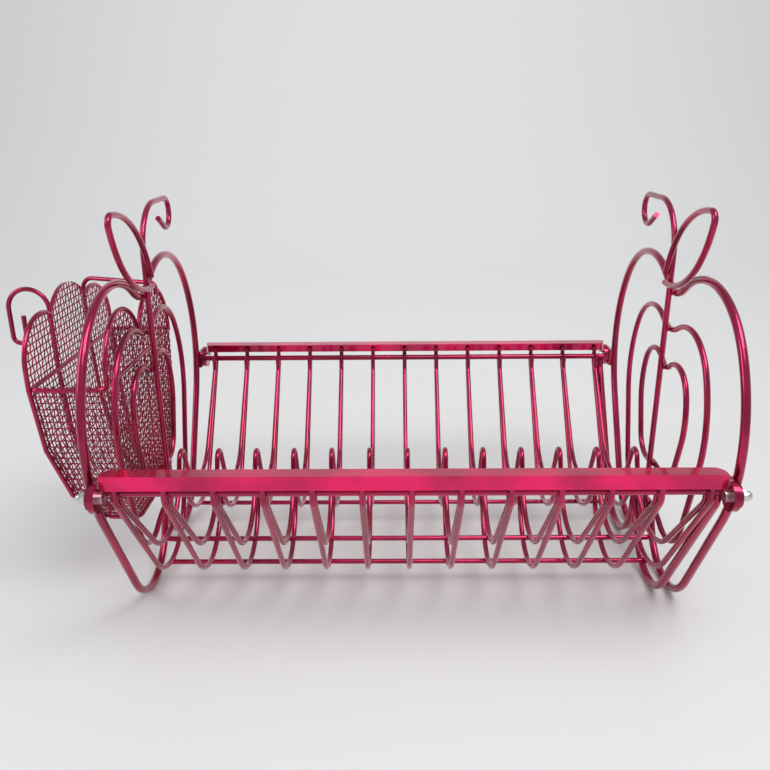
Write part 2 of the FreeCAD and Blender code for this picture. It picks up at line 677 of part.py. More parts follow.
BORE = "sizes.bolt_dia / 2 + sizes.bolt_clearance"
NUT_DOME = "sizes.bolt_dia / 2 + sizes.nut_dome_wall"
NUT_AT = LUG_AT + " + sizes.washer_thickness"
HEAD_AT = EYE_AT + " - sizes.eye_thickness - sizes.head_height"
SHANK = ("sizes.head_height + sizes.eye_thickness + sizes.lug_thickness"
         " + sizes.washer_thickness + sizes.thread_length")
pieces = {"rail_eyes": [], "frame_lugs": [], "bolt_screws": [], "washers": [], "cap_nuts": []}
for number, (x_sign, y_sign) in enumerate((("-", "-"), ("-", ""), ("", "-"), ("", "")), 1):
    bolt_y = y_sign + BOLT_Y

    def part(word):
        return "%s_%d" % (word, number)

    eye = drum(part("eye_disc"), "sizes.eye_rad", "sizes.eye_thickness",
               EYE_AT + " - sizes.eye_thickness", bolt_y, x_sign)
    bore = drum(part("eye_bore"), BORE, "sizes.eye_thickness + 2",
                EYE_AT + " - sizes.eye_thickness - 1", bolt_y, x_sign)
    pieces["rail_eyes"].append(drilled(part("eye"), eye, bore))

    plate = doc.addObject("Part::Box", part("lug_plate"))
    plate.setExpression("Length", "sizes.lug_thickness")
    plate.setExpression("Width", "sizes.rod_out + sizes.bolt_out + sizes.outline_dia / 2")
    plate.setExpression("Height", "2 * sizes.lug_rad")
    plate_x = "-(%s)" % LUG_AT if x_sign else EYE_AT
    plate_y = "sizes.outer_half_width - sizes.outline_dia / 2"
    if y_sign:
        plate_y = "-(sizes.outer_half_width + sizes.rod_out + sizes.bolt_out)"
    place(plate, plate_x, plate_y, "sizes.rail_height - sizes.lug_rad")
    tip = drum(part("lug_tip"), "sizes.lug_rad", "sizes.lug_thickness", EYE_AT, bolt_y, x_sign)
    bore = drum(part("lug_bore"), BORE, "sizes.lug_thickness + 2", EYE_AT + " - 1", bolt_y, x_sign)
    pieces["frame_lugs"].append(
        drilled(part("lug"), fused(part("lug_blank"), [plate, tip]), bore))

    head = drum(part("screw_head"), "sizes.head_dia / 2", "sizes.head_height", HEAD_AT, bolt_y,
                x_sign)
    shank = drum(part("screw_shank"), "sizes.bolt_dia / 2", SHANK, HEAD_AT, bolt_y, x_sign)
    pieces["bolt_screws"].append(fused(part("screw"), [head, shank]))

    ring = drum(part("washer_disc"), "sizes.washer_dia / 2", "sizes.washer_thickness", LUG_AT,
                bolt_y, x_sign)
    bore = drum(part("washer_bore"), BORE, "sizes.washer_thickness + 2", LUG_AT + " - 1",
                bolt_y, x_sign)
    pieces["washers"].append(drilled(part("washer"), ring, bore))

    hexagon = doc.addObject("Part::Prism", part("nut_hexagon"))
    hexagon.Polygon = 6
    hexagon.setExpression("Circumradius", "(sizes.bolt_dia + 2 * sizes.nut_wall) / sqrt(3)")
    hexagon.setExpression("Height", "sizes.nut_height")
    hexagon.Placement.Rotation = FreeCAD.Rotation(FreeCAD.Vector(0, 1, 0), -90 if x_sign else 90)
    place(hexagon, "%s(%s)" % (x_sign, NUT_AT), bolt_y, "sizes.rail_height")
    collar = drum(part("nut_collar"), NUT_DOME,
                  "sizes.nut_height + sizes.nut_dome_height", NUT_AT, bolt_y, x_sign)
    dome = doc.addObject("Part::Sphere", part("nut_dome"))
    dome.setExpression("Radius", NUT_DOME)
    dome_x = "%s(%s + sizes.nut_height + sizes.nut_dome_height)" % (x_sign, NUT_AT)
    place(dome, dome_x, bolt_y, "sizes.rail_height")
    bore = drum(part("nut_bore"), "sizes.bolt_dia / 2 + sizes.thread_clearance",
                "sizes.thread_length + 1.5", NUT_AT + " - 1", bolt_y, x_sign)
    blank = fused(part("nut_blank"), [hexagon, collar, dome])
    pieces["cap_nuts"].append(drilled(part("nut"), blank, bore))
for label, solids in pieces.items():
    group(label, solids)

# ---------------------------------------------------------------- utensil caddy

CADDY_AT = HALF + " + sizes.outline_dia / 2 + sizes.caddy_gap"
WALL_OUT = "sizes.caddy_depth + sizes.caddy_wire_out"
wall_out = size("caddy_depth") + size("caddy_wire_out")


def rounded_plan(sketch, near, depth, half, corner):
    """A rounded rectangle from -depth to -near along X; each size is (value, expression)."""
    deep, wide, rad = depth[0], half[0], corner[0]
    near, near_bound = near
    spots = [(-near - rad, -wide), (-deep + rad, -wide), (-deep, -wide + rad), (-deep, wide - rad),
             (-deep + rad, wide), (-near - rad, wide), (-near, wide - rad), (-near, -wide + rad)]
    middles = [(-deep + rad, -wide + rad, 180, 270), (-deep + rad, wide - rad, 90, 180),
               (-near - rad, wide - rad, 0, 90), (-near - rad, -wide + rad, 270, 360)]
    for edge in range(4):
        start, end = spots[2 * edge], spots[2 * edge + 1]
        sketch.addGeometry(Part.LineSegment(FreeCAD.Vector(start[0], start[1], 0),
                                            FreeCAD.Vector(end[0], end[1], 0)))
        x, y, low, high = middles[edge]
        circle = Part.Circle(FreeCAD.Vector(x, y, 0), FreeCAD.Vector(0, 0, 1), rad)
        sketch.addGeometry(Part.ArcOfCircle(circle, math.radians(low), math.radians(high)))
    for edge in (0, 2, 4, 6):
        sketch.addConstraint(Sketcher.Constraint("Tangent", edge, 2, edge + 1, 2))
        sketch.addConstraint(Sketcher.Constraint("Tangent", edge + 1, 1, (edge + 2) % 8, 1))
    for arc in (3, 5, 7):
        sketch.addConstraint(Sketcher.Constraint("Equal", 1, arc))
    sketch.addConstraint(Sketcher.Constraint("Horizontal", 0))
    sketch.addConstraint(Sketcher.Constraint("Vertical", 2))
    dimension(sketch, "Radius", (1,), rad, corner[1])
    dimension(sketch, "DistanceX", (2, 1, -1, 1), deep, depth[1])
    if near:
        dimension(sketch, "DistanceX", (6, 1, -1, 1), near, near_bound)
    else:
        sketch.addConstraint(Sketcher.Constraint("PointOnObject", 6, 1, -2))
    dimension(sketch, "DistanceY", (0, 1, -1, 1), wide, half[1])
    dimension(sketch, "DistanceY", (-1, 1, 4, 1), wide, half[1])
    return sketch


def caddy_share_at(height):
    """How far the caddy has narrowed at a named height, from 0 at the rim to 1 at the floor."""
    fixed = {"caddy_floor": (1.0, "1"), "caddy_rim": (0.0, "0"), "caddy_top": (0.0, "0")}
    return fixed.get(height) or (size(height + "_share"), "sizes.%s_share" % height)


def caddy_plan_at(height):
    """The caddy's depth and half width at a named height, each (value, expression)."""
    share, share_bound = caddy_share_at(height)
    plan = []
    for whole, foot in (("caddy_depth", "caddy_foot_depth"),
                        ("caddy_half_width", "caddy_foot_half_width")):
        value = size(whole) - share * (size(whole) - size(foot))
        bound = "sizes.{0} - {2} * (sizes.{0} - sizes.{1})".format(whole, foot, share_bound)
        plan.append((value, "(" + bound + ")"))
    return plan


def scallop_shape():
    """The valleys, the middle lobe's centre height, and the side lobes' centre and radius."""
    valley = (size("scallop_valley_y"), size("scallop_valley_z"))
    lobe_z = valley[1] - math.sqrt(size("scallop_rad") ** 2 - valley[0] ** 2)
    shoulder = (size("shoulder_y"), size("shoulder_z"))
    return valley, lobe_z, shoulder, math.dist(shoulder, valley)


def inner_wall_shape():
    """The inner wall's lobe centre and radius, and the dip between its two lobes."""
    lobe, rad = (size("inner_wall_lobe_y"), size("inner_wall_lobe_z")), size("inner_wall_lobe_rad")
    return lobe, rad, (0.0, lobe[1] + math.sqrt(rad ** 2 - lobe[0] ** 2))


def caddy_basket():
    """The caddy's walls and floor as one thin shell, with a tall scalloped outer wall."""
    body = new_body("caddy_basket")
    sheet_wall = size("caddy_sheet")
    outer, inner = [], []
    for height in ("caddy_floor", "caddy_belly", "caddy_waist", "caddy_rim", "caddy_top"):
        (depth, deep), (half, wide) = caddy_plan_at(height)
        plan = new_sketch(body, "outside_at_" + height, "XY_Plane", "sizes." + height)
        rounded_plan(plan, (0.0, "0"), (depth, deep), (half, wide),
                     (size("caddy_corner"), "sizes.caddy_corner"))
        outer.append(plan)
        lift = " + sizes.caddy_sheet" if height == "caddy_floor" else ""
        plan = new_sketch(body, "inside_at_" + height, "XY_Plane", "sizes." + height + lift)
        rounded_plan(plan, (sheet_wall, "sizes.caddy_sheet"),
                     (depth - sheet_wall, deep + " - sizes.caddy_sheet"),
                     (half - sheet_wall, wide + " - sizes.caddy_sheet"),
                     (size("caddy_corner") - sheet_wall,
                      "sizes.caddy_corner - sizes.caddy_sheet"))
        inner.append(plan)
    block = body.newObject("PartDesign::AdditiveLoft", "caddy_block")
    block.Profile = outer[0]
    block.Sections = outer[1:]
    block.Ruled = True
    hollow = body.newObject("PartDesign::SubtractiveLoft", "caddy_hollow")
    hollow.Profile = inner[0]
    hollow.Sections = inner[1:]
    hollow.Ruled = True

    above = new_sketch(body, "above_rim", "XZ_Plane")
    near, far = size("caddy_post_depth"), size("caddy_depth") - size("caddy_post_depth")
    upright_box(above, (-far, size("caddy_rim")), (-near, size("caddy_top") + 1.0),
                ("sizes.caddy_depth - sizes.caddy_post_depth", "sizes.caddy_rim",
                 "sizes.caddy_depth - 2 * sizes.caddy_post_depth",
                 "sizes.caddy_top - sizes.caddy_rim + 1"))
    low_walls = body.newObject("PartDesign::Pocket", "low_walls")
    low_walls.Profile = above
    low_walls.Type = "ThroughAll"
    low_walls.Midplane = True

    valley, lobe_z, shoulder, shoulder_rad = scallop_shape()
    edge_y = shoulder[0] + shoulder_rad
    cut = above_wall(body, "scallops", (edge_y, shoulder[1]),
                     [(shoulder, shoulder_rad, valley), ((0, lobe_z), size("scallop_rad"), None)])
    for edge, pos, sign in ((3, 2, 1), (5, 1, -1)):
        items = (-1, 1, edge, pos) if sign > 0 else (edge, pos, -1, 1)
        dimension(cut, "DistanceX", items, valley[0], "sizes.scallop_valley_y")
        dimension(cut, "DistanceY", (-1, 1, edge, pos), valley[1], "sizes.scallop_valley_z")
    dimension(cut, "Radius", (4,), size("scallop_rad"), "sizes.scallop_rad")
    for edge in (3, 5):
        items = (-1, 1, edge, 3) if edge == 3 else (edge, 3, -1, 1)
        dimension(cut, "DistanceX", items, shoulder[0], "sizes.shoulder_y")
        dimension(cut, "DistanceY", (-1, 1, edge, 3), shoulder[1], "sizes.shoulder_z")
    for edge, pos in ((3, 1), (5, 2)):
        dimension(cut, "DistanceY", (-1, 1, edge, pos), shoulder[1], "sizes.shoulder_z")
    cut_wall(body, cut, "scalloped_outer_wall", False)

    lobe, lobe_rad, dip = inner_wall_shape()
    cut = above_wall(body, "inner_wall_lobes", (lobe[0] + lobe_rad, lobe[1]),
                     [(lobe, lobe_rad, dip)])
    for edge in (3, 4):
        items = (-1, 1, edge, 3) if edge == 3 else (edge, 3, -1, 1)
        dimension(cut, "DistanceX", items, lobe[0], "sizes.inner_wall_lobe_y")
        dimension(cut, "DistanceY", (-1, 1, edge, 3), lobe[1], "sizes.inner_wall_lobe_z")
        dimension(cut, "Radius", (edge,), lobe_rad, "sizes.inner_wall_lobe_rad")
    for edge, pos in ((3, 1), (4, 2)):
        dimension(cut, "DistanceY", (-1, 1, edge, pos), lobe[1], "sizes.inner_wall_lobe_z")
    cut_wall(body, cut, "lobed_inner_wall", True)
    place(body, "-(%s)" % CADDY_AT)
    return body


def above_wall(body, name, edge, arcs):
    """Outline of what is cut away above a tall wall, whose edge is a row of mirrored arcs.

    arcs run from the side to the middle, each (centre, radius, end), with end None where the
    arc is centred and carries on to its own mirror image.
    """
    cut = new_sketch(body, name, "YZ_Plane", "-sizes.caddy_depth / 2")
    wide, high = size("caddy_half_width") + 2.0, size("caddy_top") + 2.0

    def stroke(start, end):
        cut.addGeometry(Part.LineSegment(FreeCAD.Vector(start[0], start[1], 0),
                                         FreeCAD.Vector(end[0], end[1], 0)))

    def arc(centre, radius, start, end):
        circle = Part.Circle(FreeCAD.Vector(centre[0], centre[1], 0), FreeCAD.Vector(0, 0, 1),
                             radius)
        cut.addGeometry(Part.ArcOfCircle(circle, heading_from(centre, start),
                                         heading_from(centre, end)))

    stroke((-wide, high), (wide, high))
    stroke((wide, high), (wide, edge[1]))
    stroke((wide, edge[1]), edge)
    start, mirrored = edge, []
    for centre, radius, end in arcs:
        if end is None:
            arc(centre, radius, start, (-start[0], start[1]))
            continue
        arc(centre, radius, start, end)
        mirrored.append(((-centre[0], centre[1]), radius, (-end[0], end[1]),
                         (-start[0], start[1])))
        start = end
    for piece in reversed(mirrored):
        arc(*piece)
    stroke((-edge[0], edge[1]), (-wide, edge[1]))
    stroke((-wide, edge[1]), (-wide, high))
    total = cut.GeometryCount
    for number in range(total):
        ahead = (number + 1) % total
        cut.addConstraint(Sketcher.Constraint("Coincident", number, 2, ahead, 1))
    for number, kind in ((0, "Horizontal"), (1, "Vertical"), (2, "Horizontal"),
                         (total - 2, "Horizontal"), (total - 1, "Vertical")):
        cut.addConstraint(Sketcher.Constraint(kind, number))
    dimension(cut, "DistanceX", (-1, 1, 0, 2), wide, "sizes.caddy_half_width + 2")
    dimension(cut, "DistanceX", (0, 1, -1, 1), wide, "sizes.caddy_half_width + 2")
    dimension(cut, "DistanceY", (-1, 1, 0, 2), high, "sizes.caddy_top + 2")
    return cut


def cut_wall(body, sketch, name, inner):
    """Cut one tall wall to its edge: the outer one, or the inner one if asked."""
    pocket = body.newObject("PartDesign::Pocket", name)
    pocket.Profile = sketch
    pocket.Type = "ThroughAll"
    pocket.Reversed = inner
    body.Tip = pocket


def caddy_ring(label, height, depth, half):
    """A closed wire ring round the outside of the caddy's walls at one height."""
    mid = size("caddy_sheet") / 2
    wire = Wire(label, "XY_Plane", height)
    rounded_plan(wire.path, (mid, "sizes.caddy_sheet / 2"),
                 (size(depth) + size("caddy_wire_out") - mid,
                  "sizes.%s + sizes.caddy_wire_out - sizes.caddy_sheet / 2" % depth),
                 (size(half), "sizes." + half),
                 (size("caddy_corner") + 2.0, "sizes.caddy_corner + 2"))
    place(wire.sweep("caddy_dia"), "-(%s)" % CADDY_AT)


def scallop_wire():
    """The wire along the outer wall's scalloped edge and down both of its sides to the rim."""
    valley, lobe_z, shoulder, shoulder_rad = scallop_shape()
    wire = Wire("caddy_border_scallops")
    post = wire.line((shoulder[0] + shoulder_rad, size("caddy_rim")),
                     (shoulder[0] + shoulder_rad, shoulder[1]))
    side = wire.arc(shoulder, shoulder_rad, 0.0, heading_from(shoulder, valley), 1)
    wire.path.addGeometry(Part.ArcOfCircle(
        Part.Circle(FreeCAD.Vector(0, lobe_z, 0), FreeCAD.Vector(0, 0, 1), size("scallop_rad")),
        heading_from((0, lobe_z), valley), math.pi / 2))
    lobe = wire.path.GeometryCount - 1
    wire.path.addConstraint(Sketcher.Constraint("Coincident", side, 2, lobe, 1))
    wire.along("Vertical", post)
    wire.spot(post, 1, up=(size("caddy_rim"), "sizes.caddy_rim"))
    wire.spot(side, 3, (shoulder[0], "sizes.shoulder_y"), (shoulder[1], "sizes.shoulder_z"))
    wire.spot(side, 2, (valley[0], "sizes.scallop_valley_y"), (valley[1], "sizes.scallop_valley_z"))
    wire.on_axis(lobe, 3)
    wire.on_axis(lobe, 2)
    wire.radius(lobe, size("scallop_rad"), "sizes.scallop_rad")
    scallops = wire.sweep("caddy_dia", True)
    place(scallops, "-(%s + %s)" % (CADDY_AT, WALL_OUT))
    return scallops


def inner_edge_wire():
    """The wire along the inner wall's two lobes and down both of its sides to the rim."""
    lobe, rad, dip = inner_wall_shape()
    wire = Wire("caddy_inner_edge_wire")
    post = wire.line((lobe[0] + rad, size("caddy_rim")), (lobe[0] + rad, lobe[1]))
    top = wire.arc(lobe, rad, 0.0, heading_from(lobe, dip), 1)
    wire.along("Vertical", post)
    wire.spot(post, 1, up=(size("caddy_rim"), "sizes.caddy_rim"))
    wire.spot(top, 3, (lobe[0], "sizes.inner_wall_lobe_y"), (lobe[1], "sizes.inner_wall_lobe_z"))
    wire.radius(top, rad, "sizes.inner_wall_lobe_rad")
    wire.on_axis(top, 2)
    place(wire.sweep("caddy_dia", True), "-(%s + sizes.caddy_sheet / 2)" % CADDY_AT)


def kinked_wire(label, spots, bounds):
    """A wire of straight runs in the XZ plane: spots are (x, z), bounds their expressions."""
    wire = Wire(label, "XZ_Plane")
    for number in range(len(spots) - 1):
        ends = [FreeCAD.Vector(spot[0], spot[1], 0) for spot in spots[number:number + 2]]
        wire.path.addGeometry(Part.LineSegment(*ends))
        if number:
            wire.path.addConstraint(Sketcher.Constraint("Coincident", number - 1, 2, number, 1))
    for number, ((x, z), (x_bound, z_bound)) in enumerate(zip(spots, bounds)):
        edge, pos = (number, 1) if number < len(spots) - 1 else (number - 1, 2)
        if x < 0:
            wire.fix("DistanceX", (edge, pos, -1, 1), -x, x_bound)
        elif x > 0:
            wire.fix("DistanceX", (-1, 1, edge, pos), x, x_bound)
        else:
            wire.on_axis(edge, pos)
        wire.fix("DistanceY", (-1, 1, edge, pos), z, z_bound)
    body = wire.sweep("caddy_dia")
    body.Tip.Transition = "Round corner"
    return body


def caddy_rib(label, sign):
    """A wire down the outer wall, from the dip in its edge to the floor."""
    spots = [(-wall_out, size("scallop_valley_z"))]
    bounds = [(WALL_OUT, "sizes.scallop_valley_z")]
    for height in ("caddy_rim", "caddy_waist", "caddy_belly", "caddy_floor"):
        depth, bound = caddy_plan_at(height)[0]
        spots.append((-depth - size("caddy_wire_out"), size(height)))
        bounds.append((bound + " + sizes.caddy_wire_out", "sizes." + height))
    place(kinked_wire(label, spots, bounds), "-(%s)" % CADDY_AT, sign + "sizes.scallop_valley_y")


def caddy_corner_wire(label, turn):
    """A wire down one outer corner, from the foot of the scalloped edge wire to the floor."""
    inwards = size("caddy_depth") - size("caddy_foot_depth")
    across = size("caddy_half_width") - size("caddy_foot_half_width")
    run = math.hypot(inwards, across)
    narrowing = ("sqrt((sizes.caddy_depth - sizes.caddy_foot_depth)^2"
                 " + (sizes.caddy_half_width - sizes.caddy_foot_half_width)^2)")
    heights = ("caddy_rim", "caddy_waist", "caddy_belly", "caddy_floor")
    shares = [caddy_share_at(height) for height in heights]
    spots = [(run * share, size(height)) for (share, bound), height in zip(shares, heights)]
    bounds = [("%s * %s" % (bound, narrowing), "sizes." + height)
              for (share, bound), height in zip(shares, heights)]
    body = kinked_wire(label, spots, bounds)
    swing = math.degrees(math.atan2(across, inwards))
    body.Placement.Rotation = FreeCAD.Rotation(FreeCAD.Vector(0, 0, 1), -turn * swing)
    shoulder, shoulder_rad = scallop_shape()[2:]
    sign = "-" if turn < 0 else ""
    place(body, "-(%s + %s)" % (CADDY_AT, WALL_OUT), "%s%.6f" % (sign, shoulder[0] + shoulder_rad))
    return body


def caddy_hook():
    """The wire that rises from the back dip, passes over the frame and turns down inside it."""
    start = (-FRAME_X - size("outline_dia") / 2 - size("caddy_gap") - wall_out,
             size("scallop_valley_y"))
    end = (-FRAME_X + size("hook_end_x"), size("hook_end_y"))
    run = math.dist(start, end)
    rad, end_rad = size("hook_bend_rad"), size("hook_end_rad")
    cross_y = start[1] + (end[1] - start[1]) * (-FRAME_X - start[0]) / (end[0] - start[0])
    lobe = (size("outer_lobe_y"), size("outer_lobe_z"))
    dip_rad = size("outer_top_dip_rad")
    dip_z = dip_centre_height(lobe, size("outer_lobe_rad"), dip_rad, 1)
    slope = math.asin(cross_y / dip_rad)
    thick = (size("outline_dia") + size("caddy_dia")) / 2 + size("hook_clearance")
    level = dip_z - dip_rad * math.cos(slope) + thick / math.cos(slope)
    valley = size("scallop_valley_z")

    wire = Wire("caddy_hook", "XZ_Plane")
    rise = wire.line((0, valley), (0, level - rad))
    bend = wire.arc((rad, level - rad), rad, math.pi, math.pi / 2, -1)
    over = wire.line((rad, level), (run - end_rad, level))
    turn = wire.arc((run - end_rad, level - end_rad), end_rad, math.pi / 2, 0.0, -1)
    drop = wire.line((run, level - end_rad), (run, level - size("hook_drop")))
    wire.on_axis(rise, 1)
    wire.spot(rise, 1, up=(valley, "sizes.scallop_valley_z"))
    wire.along("Vertical", rise)
    wire.radius(bend, rad, "sizes.hook_bend_rad")
    wire.along("Horizontal", over)
    wire.radius(turn, end_rad, "sizes.hook_end_rad")
    wire.along("Vertical", drop)
    wire.fix("DistanceY", (-1, 1, over, 1), level, "%.6f" % level)
    wire.fix("DistanceX", (-1, 1, drop, 2), run, "%.6f" % run)
    wire.fix("DistanceY", (drop, 2, over, 1), size("hook_drop"), "sizes.hook_drop")
    body = wire.sweep("caddy_dia")
    place(body, "-(%s + %s)" % (CADDY_AT, WALL_OUT), "sizes.scallop_valley_y")
    swing = math.degrees(math.atan2(end[1] - start[1], end[0] - start[0]))
    body.Placement.Rotation = FreeCAD.Rotation(FreeCAD.Vector(0, 0, 1), swing)


def caddy_curl():
    """The wire that rises from the front dip and curls outwards and down."""
    top, rad = size("curl_straight_top"), size("curl_bend_rad")
    low, end_rad = size("curl_low_z"), size("curl_end_rad")
    valley = size("scallop_valley_z")
    wire = Wire("caddy_curl", "XZ_Plane")
    rise = wire.line((0, valley), (0, top))
    bend = wire.arc((-rad, top), rad, 0.0, math.pi, 1)
    fall = wire.line((-2 * rad, top), (-2 * rad, low))
    turn = wire.arc((-2 * rad + end_rad, low), end_rad, math.pi, 2 * math.pi, 1)
    tail = wire.line((-2 * rad + 2 * end_rad, low), (-2 * rad + 2 * end_rad, size("curl_end_z")))
    wire.on_axis(rise, 1)
    wire.spot(rise, 1, up=(valley, "sizes.scallop_valley_z"))
    wire.along("Vertical", rise)
    wire.spot(rise, 2, up=(top, "sizes.curl_straight_top"))
    wire.radius(bend, rad, "sizes.curl_bend_rad")
    wire.along("Vertical", fall)
    wire.spot(fall, 2, up=(low, "sizes.curl_low_z"))
    wire.radius(turn, end_rad, "sizes.curl_end_rad")
    wire.along("Vertical", tail)
    wire.spot(tail, 2, up=(size("curl_end_z"), "sizes.curl_end_z"))
    place(wire.sweep("caddy_dia"), "-(%s + %s)" % (CADDY_AT, WALL_OUT),
          "-sizes.scallop_valley_y")


caddy_basket()
caddy_ring("caddy_rim_wire", "sizes.caddy_rim", "caddy_depth", "caddy_half_width")
caddy_ring("caddy_foot_ring", "sizes.caddy_floor", "caddy_foot_depth", "caddy_foot_half_width")
inner_edge_wire()
caddy_rib("caddy_front_rib", "-")
caddy_rib("caddy_back_rib", "")
border = [scallop_wire(), caddy_corner_wire("caddy_border_front_corner", -1),
          caddy_corner_wire("caddy_border_back_corner", 1)]
edge_wire = fused("caddy_edge_wire", border)
edge_wire.Label = "caddy_edge_wire"
caddy_hook()
caddy_curl()

# ---------------------------------------------------------------- export

doc.recompute()
nodes = [edge_wire]
nodes += [item for item in doc.Objects if item.TypeId == "PartDesign::Body"
          and item not in border]
nodes += [item for item in doc.Objects if item.TypeId == "Part::Compound"]
nodes += [item for item in doc.Objects if item.TypeId == "Part::Cylinder"
          and item.Label.endswith("_rod")]
for item in doc.Objects:
    if "Invalid" in item.State or "Error" in item.State:
        raise RuntimeError("%s did not compute: %s" % (item.Label, item.State))
os.makedirs("parts", exist_ok=True)
for item in nodes:
    if not item.Shape.Solids or not item.Shape.isValid():
        raise RuntimeError("%s has no valid solid" % item.Label)
    item.Shape.exportStep("parts/%s.step" % item.Label)
print("exported", len(nodes), "nodes")
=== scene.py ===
"""Looks of the wire dish drying rack: coats, weld beads, woven caddy mesh, studio."""
import json
import math

import bpy
import numpy as np
from mathutils import Matrix, Vector


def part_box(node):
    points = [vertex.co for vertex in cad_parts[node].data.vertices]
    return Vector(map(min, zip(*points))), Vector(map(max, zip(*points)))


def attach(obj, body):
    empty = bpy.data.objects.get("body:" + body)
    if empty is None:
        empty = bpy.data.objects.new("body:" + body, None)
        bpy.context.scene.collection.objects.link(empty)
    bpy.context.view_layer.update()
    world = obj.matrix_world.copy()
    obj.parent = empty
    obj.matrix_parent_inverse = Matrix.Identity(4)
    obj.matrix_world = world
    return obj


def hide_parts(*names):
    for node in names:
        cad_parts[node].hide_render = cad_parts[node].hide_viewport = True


bl_info = {
    "name": "Dish Drying Rack Looks",
    "version": (1, 0, 0),
    "blender": (4, 5, 0),
    "location": "3D View > Sidebar > Dish Rack",
    "description": "Gives the wire dish rack its coat, weld beads, woven caddy mesh and stage",
    "category": "Object",
}

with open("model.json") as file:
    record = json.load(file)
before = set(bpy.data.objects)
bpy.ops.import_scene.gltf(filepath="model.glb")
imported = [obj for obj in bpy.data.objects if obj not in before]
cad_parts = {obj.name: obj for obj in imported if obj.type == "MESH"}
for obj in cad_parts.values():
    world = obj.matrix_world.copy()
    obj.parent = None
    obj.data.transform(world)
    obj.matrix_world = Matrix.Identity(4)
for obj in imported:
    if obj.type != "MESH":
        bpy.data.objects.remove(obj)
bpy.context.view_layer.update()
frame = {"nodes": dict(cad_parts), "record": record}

RACK = "rack"
CADDY = "utensil_caddy"
BASKET_LOW, BASKET_HIGH = (np.array(corner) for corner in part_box("caddy_basket"))
RIM_LOW, RIM_HIGH = (np.array(corner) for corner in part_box("caddy_rim_wire"))
ROD_LOW, ROD_HIGH = (np.array(corner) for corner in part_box("back_rail_rod"))

SHEET_HALF = 0.0006  # half the caddy sheet's thickness; the mesh is woven at mid thickness
MESH_SAMPLES = 3  # points along a mesh wire from one crossing to the next
MESH_SIDES = 5  # corners of a mesh wire's section
LUMPS = 0.09  # how uneven a weld bead is


# ------------------------------------------------------------------ settings


class CoatSettings(bpy.types.PropertyGroup):
    """Colours and gloss of the coloured coat and of the bare fasteners."""

    coat: bpy.props.FloatVectorProperty(
        name="Coat", description="Main colour of the metallic coat on the wires",
        subtype="COLOR", size=3, min=0.0, max=1.0, default=(0.46, 0.004, 0.075))
    coat_deep: bpy.props.FloatVectorProperty(
        name="Deep coat", description="Colour where the coat has pooled thicker",
        subtype="COLOR", size=3, min=0.0, max=1.0, default=(0.27, 0.002, 0.042))
    # Painted reflection: the flat rail strips carry the wire coat painted much lighter, standing
    # in for the bright floor reflected in their flat faces.
    strip: bpy.props.FloatVectorProperty(
        name="Rail strip", description="Wire coat painted lighter on the flat rail strips, a painted reflection of the floor",
        subtype="COLOR", size=3, min=0.0, max=1.0, default=(0.92, 0.004, 0.13))
    coat_roughness: bpy.props.FloatProperty(
        name="Coat roughness", description="Roughness of the metallic layer",
        subtype="FACTOR", min=0.0, max=1.0, default=0.2)
    metal: bpy.props.FloatVectorProperty(
        name="Fastener metal", description="Colour of the plated screws, washers and nuts",
        subtype="COLOR", size=3, min=0.0, max=1.0, default=(0.72, 0.71, 0.7))


